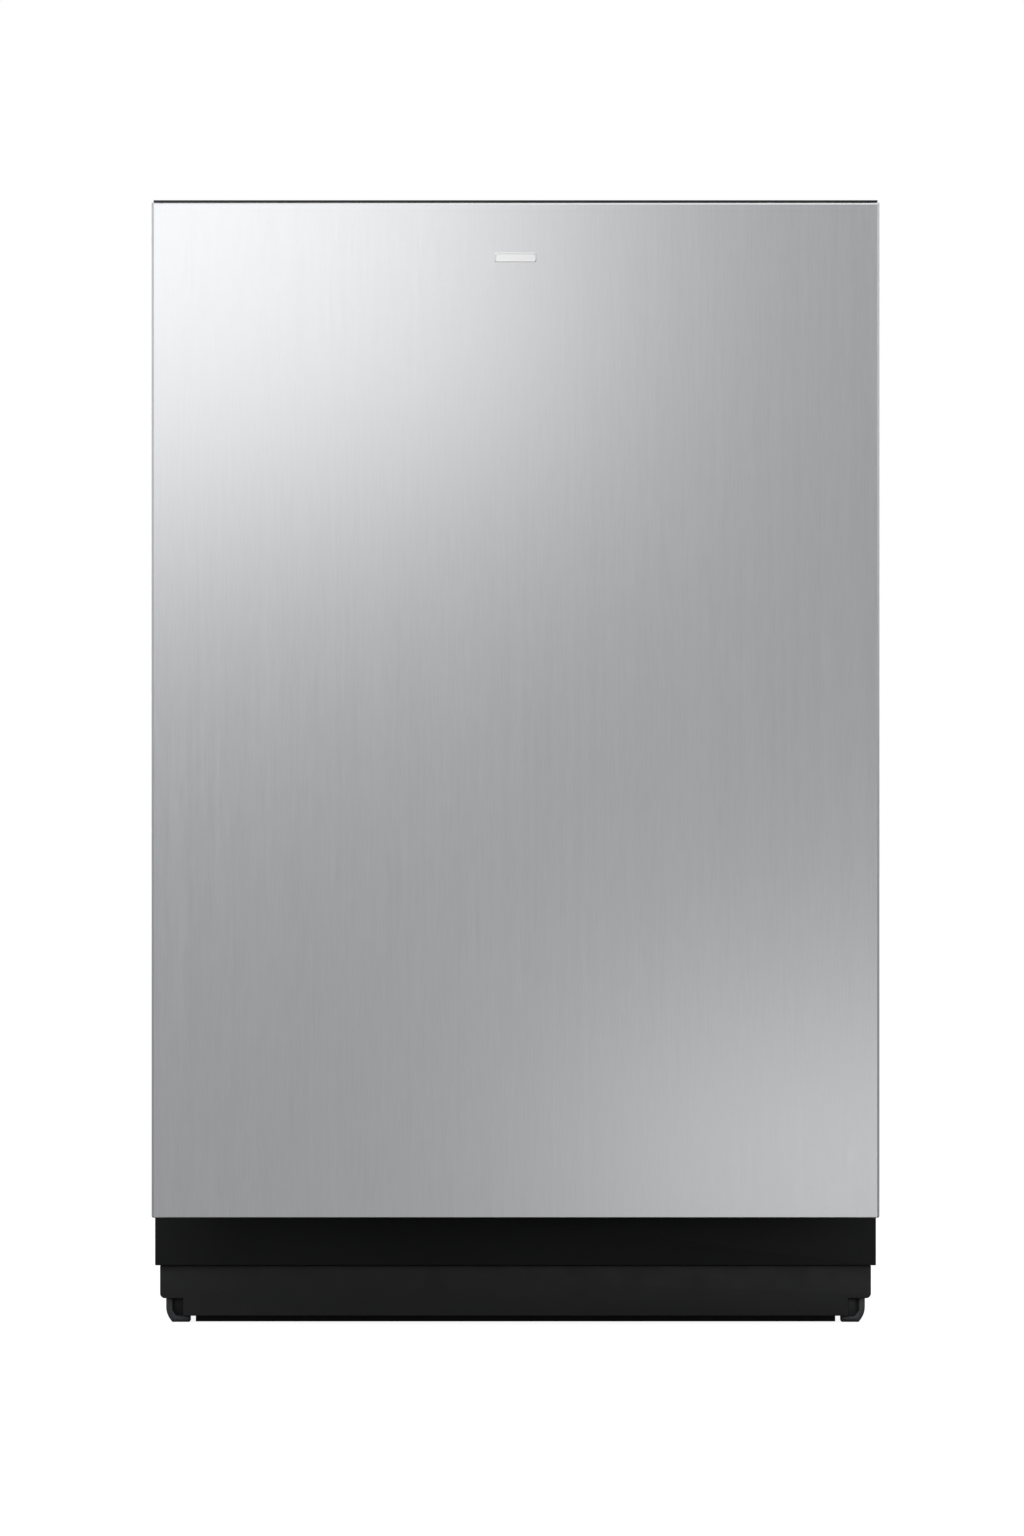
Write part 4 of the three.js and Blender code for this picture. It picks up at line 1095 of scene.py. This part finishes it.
def rack_wheel(node):
    """A wheel with a thin ribbed web between hub and tyre."""
    low, high = box(node)
    centre = (low + high) / 2
    width = high.x - low.x
    radius = (high.z - low.z) / 2
    ribs = 6
    inner = [(3.4, 0), (8, 0), (8.5, 3.5), (13.2, 4), (14.2, 0.5), (radius - 1.2, 0.5), (radius, 1.7)]
    outer = [(r, width - h) for r, h in reversed(inner)]
    parts = [lathe(inner + outer, 36, bored=True)]
    points, faces = rounded_block((7.5, -0.9, 1.2), (14, 0.9, width - 1.2), corner=0.6, edge=0.3, axis="z")
    for k in range(ribs):
        turn = Matrix.Rotation(2 * math.pi * k / ribs, 3, "Z")
        parts.append(([turn @ Vector(p) for p in points], faces))
    shape = turned(joined(parts), (low.x, centre.y, centre.z), (1, 0, 0))
    new_piece(f"{node}_moulding", shape, "grey_plastic", node, [node])


def cutlery_tray():
    """A moulded tray: rimmed walls, a lattice floor, rows of dividing fins and side runners."""
    low, high = box("cutlery_tray")
    half = extent("cutlery_tray", "x", lambda c: c.z > high.z - 1)[1]
    wall, lip, edge = 2.4, 3, 0.8
    inner = lip + wall
    profile = [(lip, low.z), (lip, high.z - 5), (0.3, high.z - 4), (0, high.z - 3.4)]
    profile += [(0, high.z - edge), (edge, high.z), (inner - edge, high.z), (inner, high.z - edge)]
    profile += [(inner, low.z)]
    corners = (-half, low.y, 0), (half, high.y, 0)
    loops = [framed(*corners, inset, 12, z, axis="z", steps=6) for inset, z in profile]
    parts = [lofted(loops + [loops[0]], caps=False)]
    for x in lines(-half + 40, half - 40, 21):
        for y in (low.y + 60, low.y + 165, high.y - 185, high.y - 80):
            fin_low, fin_high = (x - 0.9, y, low.z + 1.5), (x + 0.9, y + 20, low.z + 24)
            parts.append(rounded_block(fin_low, fin_high, corner=0.7, edge=0.4, axis="z"))
    z0, z1 = extent("cutlery_tray", "z", lambda c: abs(c.x) > high.x - 1)
    for side in (-1, 1):
        x0, x1 = sorted((side * (half - lip - wall / 2), side * high.x))
        parts.append(rounded_block((x0, low.y + 12, z0), (x1, high.y - 2, z1),
                                   corner=1.2, edge=0.8, axis="z"))
    new_piece("tray_walls", joined(parts), "grey_plastic", "cutlery_tray", ["cutlery_tray"])
    inset = lip + 1
    tray_lattice(-half + inset, half - inset, low.y + inset, high.y - inset, low.z + 1.2)


def tray_lattice(x0, x1, y0, y1, level):
    """Crossed bars that carry the cutlery."""
    bar, pitch = 3, 15

    def edges(start, end):
        cells = int((end - start) / pitch) + 1
        both = [start + k * pitch + width for k in range(cells) for width in (0, bar)]
        return [edge for edge in both if edge <= end]

    rows = [[(x, y, level) for x in edges(x0, x1)] for y in edges(y0, y1)]
    shape = grid(rows, lambda p: (p.x - x0) % pitch > bar and (p.y - y0) % pitch > bar)
    new_piece("tray_lattice", shape, "grey_plastic", "cutlery_tray", sheet=2.2)


# ---- wash system ----
def blade(reach, hub, thick):
    """A flattened hollow arm along X through the origin, that narrows from its hub to rounded tips."""
    stations, steps = 48, 20
    tip = hub * 0.55
    root = hub * 0.82
    loops = []
    for share in evenly(-1, 1, stations):
        past_tip = max(0.0, (abs(share) - 1) * reach / tip + 1)
        wide = (tip + (root - tip) * (1 - abs(share)) ** 1.6) * math.sqrt(max(0.0, 1 - past_tip ** 2))
        wide = max(wide, 0.3)
        tall = thick * min(1.0, 0.25 + wide / tip * 0.75)
        bow = 7 * math.sin(math.pi * share) * (tip / hub) * (1 - wide / hub)
        loop = []
        for c, s, _ in ring(1, 0, steps):
            y = math.copysign(abs(c) ** 0.75, c) * wide
            loop.append((share * reach, y + bow, math.copysign(abs(s) ** 0.6, s) * tall))
        loops.append(loop)
    return lofted(loops)


def spray_arm(node, jets):
    """A hollow moulded blade with a round hub, and a row of rimmed jets on its top."""
    low, high = box(node)
    centre = (low + high) / 2
    reach = (high.x - low.x) / 2
    hub = (high.y - low.y) / 2
    bore = 5.2
    bottom = extent(node, "z", lambda c: abs(c.x) > hub + 10)[0]
    middle, thick = (bottom + high.z) / 2, (high.z - bottom) / 2
    profile = [(bore, low.z), (hub * 0.8, low.z), (hub, low.z + 2.5), (hub, middle + thick * 0.3)]
    profile += [(hub * 0.86, high.z - 1.2), (hub * 0.6, high.z), (bore, high.z)]
    parts = [turned(blade(reach, hub, thick), (centre.x, centre.y, middle))]
    parts.append(turned(lathe(profile, steps=40, bored=True), (centre.x, centre.y, 0)))
    jet = lathe([(1.3, -1), (2.9, -1), (2.7, 0.5), (2.2, 0.8), (1.3, 0.6)], steps=14, bored=True)
    stagger = hub * 0.1375  # the jets stand by turns on either side of the blade's middle line
    for side in (-1, 1):
        for k, x in enumerate(evenly(hub * 1.5, reach * 0.93, jets - 1)):
            y = centre.y + side * stagger * (1 if k % 2 else -1)
            parts.append(turned(jet, (centre.x + side * x, y, high.z - 0.6), (0, 0.12 * side, 1)))
    new_piece(f"{node}_shell", joined(parts), "dark_grey_plastic", node, [node])


def float_cap():
    """A domed float on a thin stem."""
    low, high = box("float_dome")
    centre = (low + high) / 2
    radius = (high.x - low.x) / 2
    skirt = extent("float_dome", "z", lambda c: (c.xy - centre.xy).length > radius * 0.9)[0]
    rise = high.z - skirt
    stem, groove = 4, radius * 0.97
    profile = [(stem * 0.6, low.z), (stem, low.z + 1), (stem, skirt), (radius * 0.94, skirt)]
    profile += [(radius, skirt + 1), (radius, skirt + rise * 0.4)]
    profile += [(groove, skirt + rise * 0.42), (groove, skirt + rise * 0.46)]
    for angle in map(math.radians, (0, 15, 30, 45, 60, 75, 86)):
        profile.append((radius * math.cos(angle), skirt + rise * (0.55 + 0.45 * math.sin(angle))))
    cap = turned(lathe(profile, steps=40), (centre.x, centre.y, 0))
    new_piece("float_cap", cap, "grey_plastic", "float_dome", ["float_dome"])


def filter_cage():
    """The filter's cage of fine hoops and uprights inside its rim, with a grip bridge."""
    low, high = box("filter_cylinder")
    centre = (low + high) / 2
    axis = (centre.x, centre.y, 0)
    rim = (high.x - low.x) / 2
    radius = rim - 5
    neck = radius - 3
    seat = extent("filter_cylinder", "z", lambda c: (c.xy - centre.xy).length > rim - 1)[0]
    top = seat + 3
    profile = [(neck, seat - 4), (radius, seat - 4), (radius, seat), (rim, seat)]
    profile += [(rim, seat + 2), (rim - 1, top), (neck, top)]
    foot = [(radius - 1, low.z), (radius, low.z + 1), (radius, low.z + 3), (radius - 1, low.z + 4)]
    reach = radius - 2
    bridge = rounded_block((centre.x - reach, centre.y - 3, seat + 0.5),
                           (centre.x + reach, centre.y + 3, high.z), corner=7, edge=1.4, axis="y")
    parts = [turned(lathe(profile, steps=48, bored=True), axis), turned(lathe(foot, steps=48), axis), bridge]
    new_piece("filter_frame", joined(parts), "grey_plastic", "filter_cylinder", ["filter_cylinder"])

    def circle(z, steps):
        return [(centre.x + x, centre.y + y, z) for x, y, _ in ring(radius - 1.5, 0, steps)]

    uprights = list(zip(circle(low.z + 2, 24), circle(seat - 2, 24)))
    hoops = [circle(z, 40) for z in lines(low.z + 6, seat - 6, 5)]
    wires("filter_mesh", uprights, 0.6, "tub_steel", "filter_cylinder", loops=hoops)


# ---- camera, lights and stage ----
def add_camera():
    """Looks straight at the door from far off, so the box shows almost no perspective."""
    span = DOOR_WIDTH / DOOR_SHARE * PICTURE_RATIO
    data = bpy.data.cameras.new("camera")
    data.sensor_width = SENSOR
    data.lens = SENSOR * CAMERA_DISTANCE / span
    data.clip_end = 10 * CAMERA_DISTANCE
    camera = linked("camera", data)
    camera.location = (CAMERA_X, FRONT_Y - CAMERA_DISTANCE, CAMERA_HEIGHT)
    camera.rotation_euler = (math.radians(90), 0, 0)
    bpy.context.scene.camera = camera


def add_softbox(name, place, size, turn, power):
    """A flat rectangular light that the camera doesn't see, turned by degrees about X, Y and Z."""
    data = bpy.data.lights.new(name, "AREA")
    data.shape = "RECTANGLE"
    data.size, data.size_y = size
    data.energy = power
    light = linked(name, data)
    light.location = place
    light.rotation_euler = [math.radians(angle) for angle in turn]
    light.visible_camera = False


def add_lights():
    """A softbox high on the left and a low strip on the right leave a darker diagonal band on the door.
    The others fill the top and the sides."""
    key_place, strip_place = (-0.715, FRONT_Y - 0.97, 1.056), (0.782, FRONT_Y - 0.925, 0.116)
    add_softbox("key", key_place, size=(1.404, 0.878), turn=(90, -9.6, 0), power=4.2)
    add_softbox("low strip", strip_place, size=(1.406, 0.2), turn=(90, 0, 0), power=0.71)
    add_softbox("overhead", (0, 0.3, 3.2), size=(3.0, 3.0), turn=(0, 0, 0), power=22.0)
    for name, side in SIDES:
        place = (side * 2.4, 0.9, 1.5)
        add_softbox(f"{name} side", place, size=(1.6, 1.6), turn=(70, 0, side * 75), power=14.0)


def light_the_room():
    """White behind the object, and a softer even light on it."""
    world = bpy.data.worlds.new("room")
    world.use_nodes = True
    tree = world.node_tree
    background = tree.nodes["Background"]
    path = tree.nodes.new("ShaderNodeLightPath")
    level = tree.nodes.new("ShaderNodeMapRange")
    level.inputs["To Min"].default_value = AMBIENT
    level.inputs["To Max"].default_value = 1.0
    tree.links.new(path.outputs["Is Camera Ray"], level.inputs["Value"])
    tree.links.new(level.outputs["Result"], background.inputs["Strength"])
    background.inputs["Color"].default_value = (1, 1, 1, 1)
    bpy.context.scene.world = world


def add_floor():
    """A pale floor, bright enough to run into the white background."""
    data = bpy.data.meshes.new("floor")
    corners = [(x * FLOOR_REACH, y * FLOOR_REACH, 0) for x, y in ((-1, -1), (1, -1), (1, 1), (-1, 1))]
    data.from_pydata(corners, [], [(0, 1, 2, 3)])
    look = Look("floor", (0.2, 0.2, 0.2), 0.9, {"Emission Color": (1, 1, 1, 1)})
    look.tint(look.noise(3.0, 3.0), 0.02)
    camera_ray = look.node("ShaderNodeLightPath").outputs["Is Camera Ray"]
    glow = look.node("ShaderNodeMath", {0: camera_ray, 1: FLOOR_GLOW}, operation="MULTIPLY")
    look.link(glow.outputs[0], "Emission Strength")
    data.materials.append(look.material)
    linked("floor", data)


def set_colour_management():
    bpy.context.scene.view_settings.view_transform = "Standard"
    bpy.context.scene.view_settings.look = "None"


dress_frame()
door_skin()
badge_plate()
door_edge_screws()
touch_marks()
liner()
lid_cover()
cap_grip()
for name, side in SIDES:
    side_panel(name, side)
    for place in PLACES:
        foot(f"foot_{place}_{name}", side)
rear_panel()
top_cover()
access_cover()
toe_cover()
seal_lip()
toe_lip()
inlet_thread()
drain_barbs()
mains_inlet()
tub_wrap()
tub_back()
gasket()
lower_rack()
upper_rack()
for body in ("lower_rack", "upper_rack"):
    rack_handle(f"{body}_handle", body)
for name, side in SIDES:
    for place in PLACES:
        rack_wheel(f"wheel_{place}_{name}")
cutlery_tray()
for node, jets in (("lower_spray_arm", 6), ("upper_spray_arm", 5), ("top_spray_arm", 3)):
    spray_arm(node, jets)
float_cap()
filter_cage()
add_camera()
set_colour_management()
light_the_room()
add_lights()
add_floor()
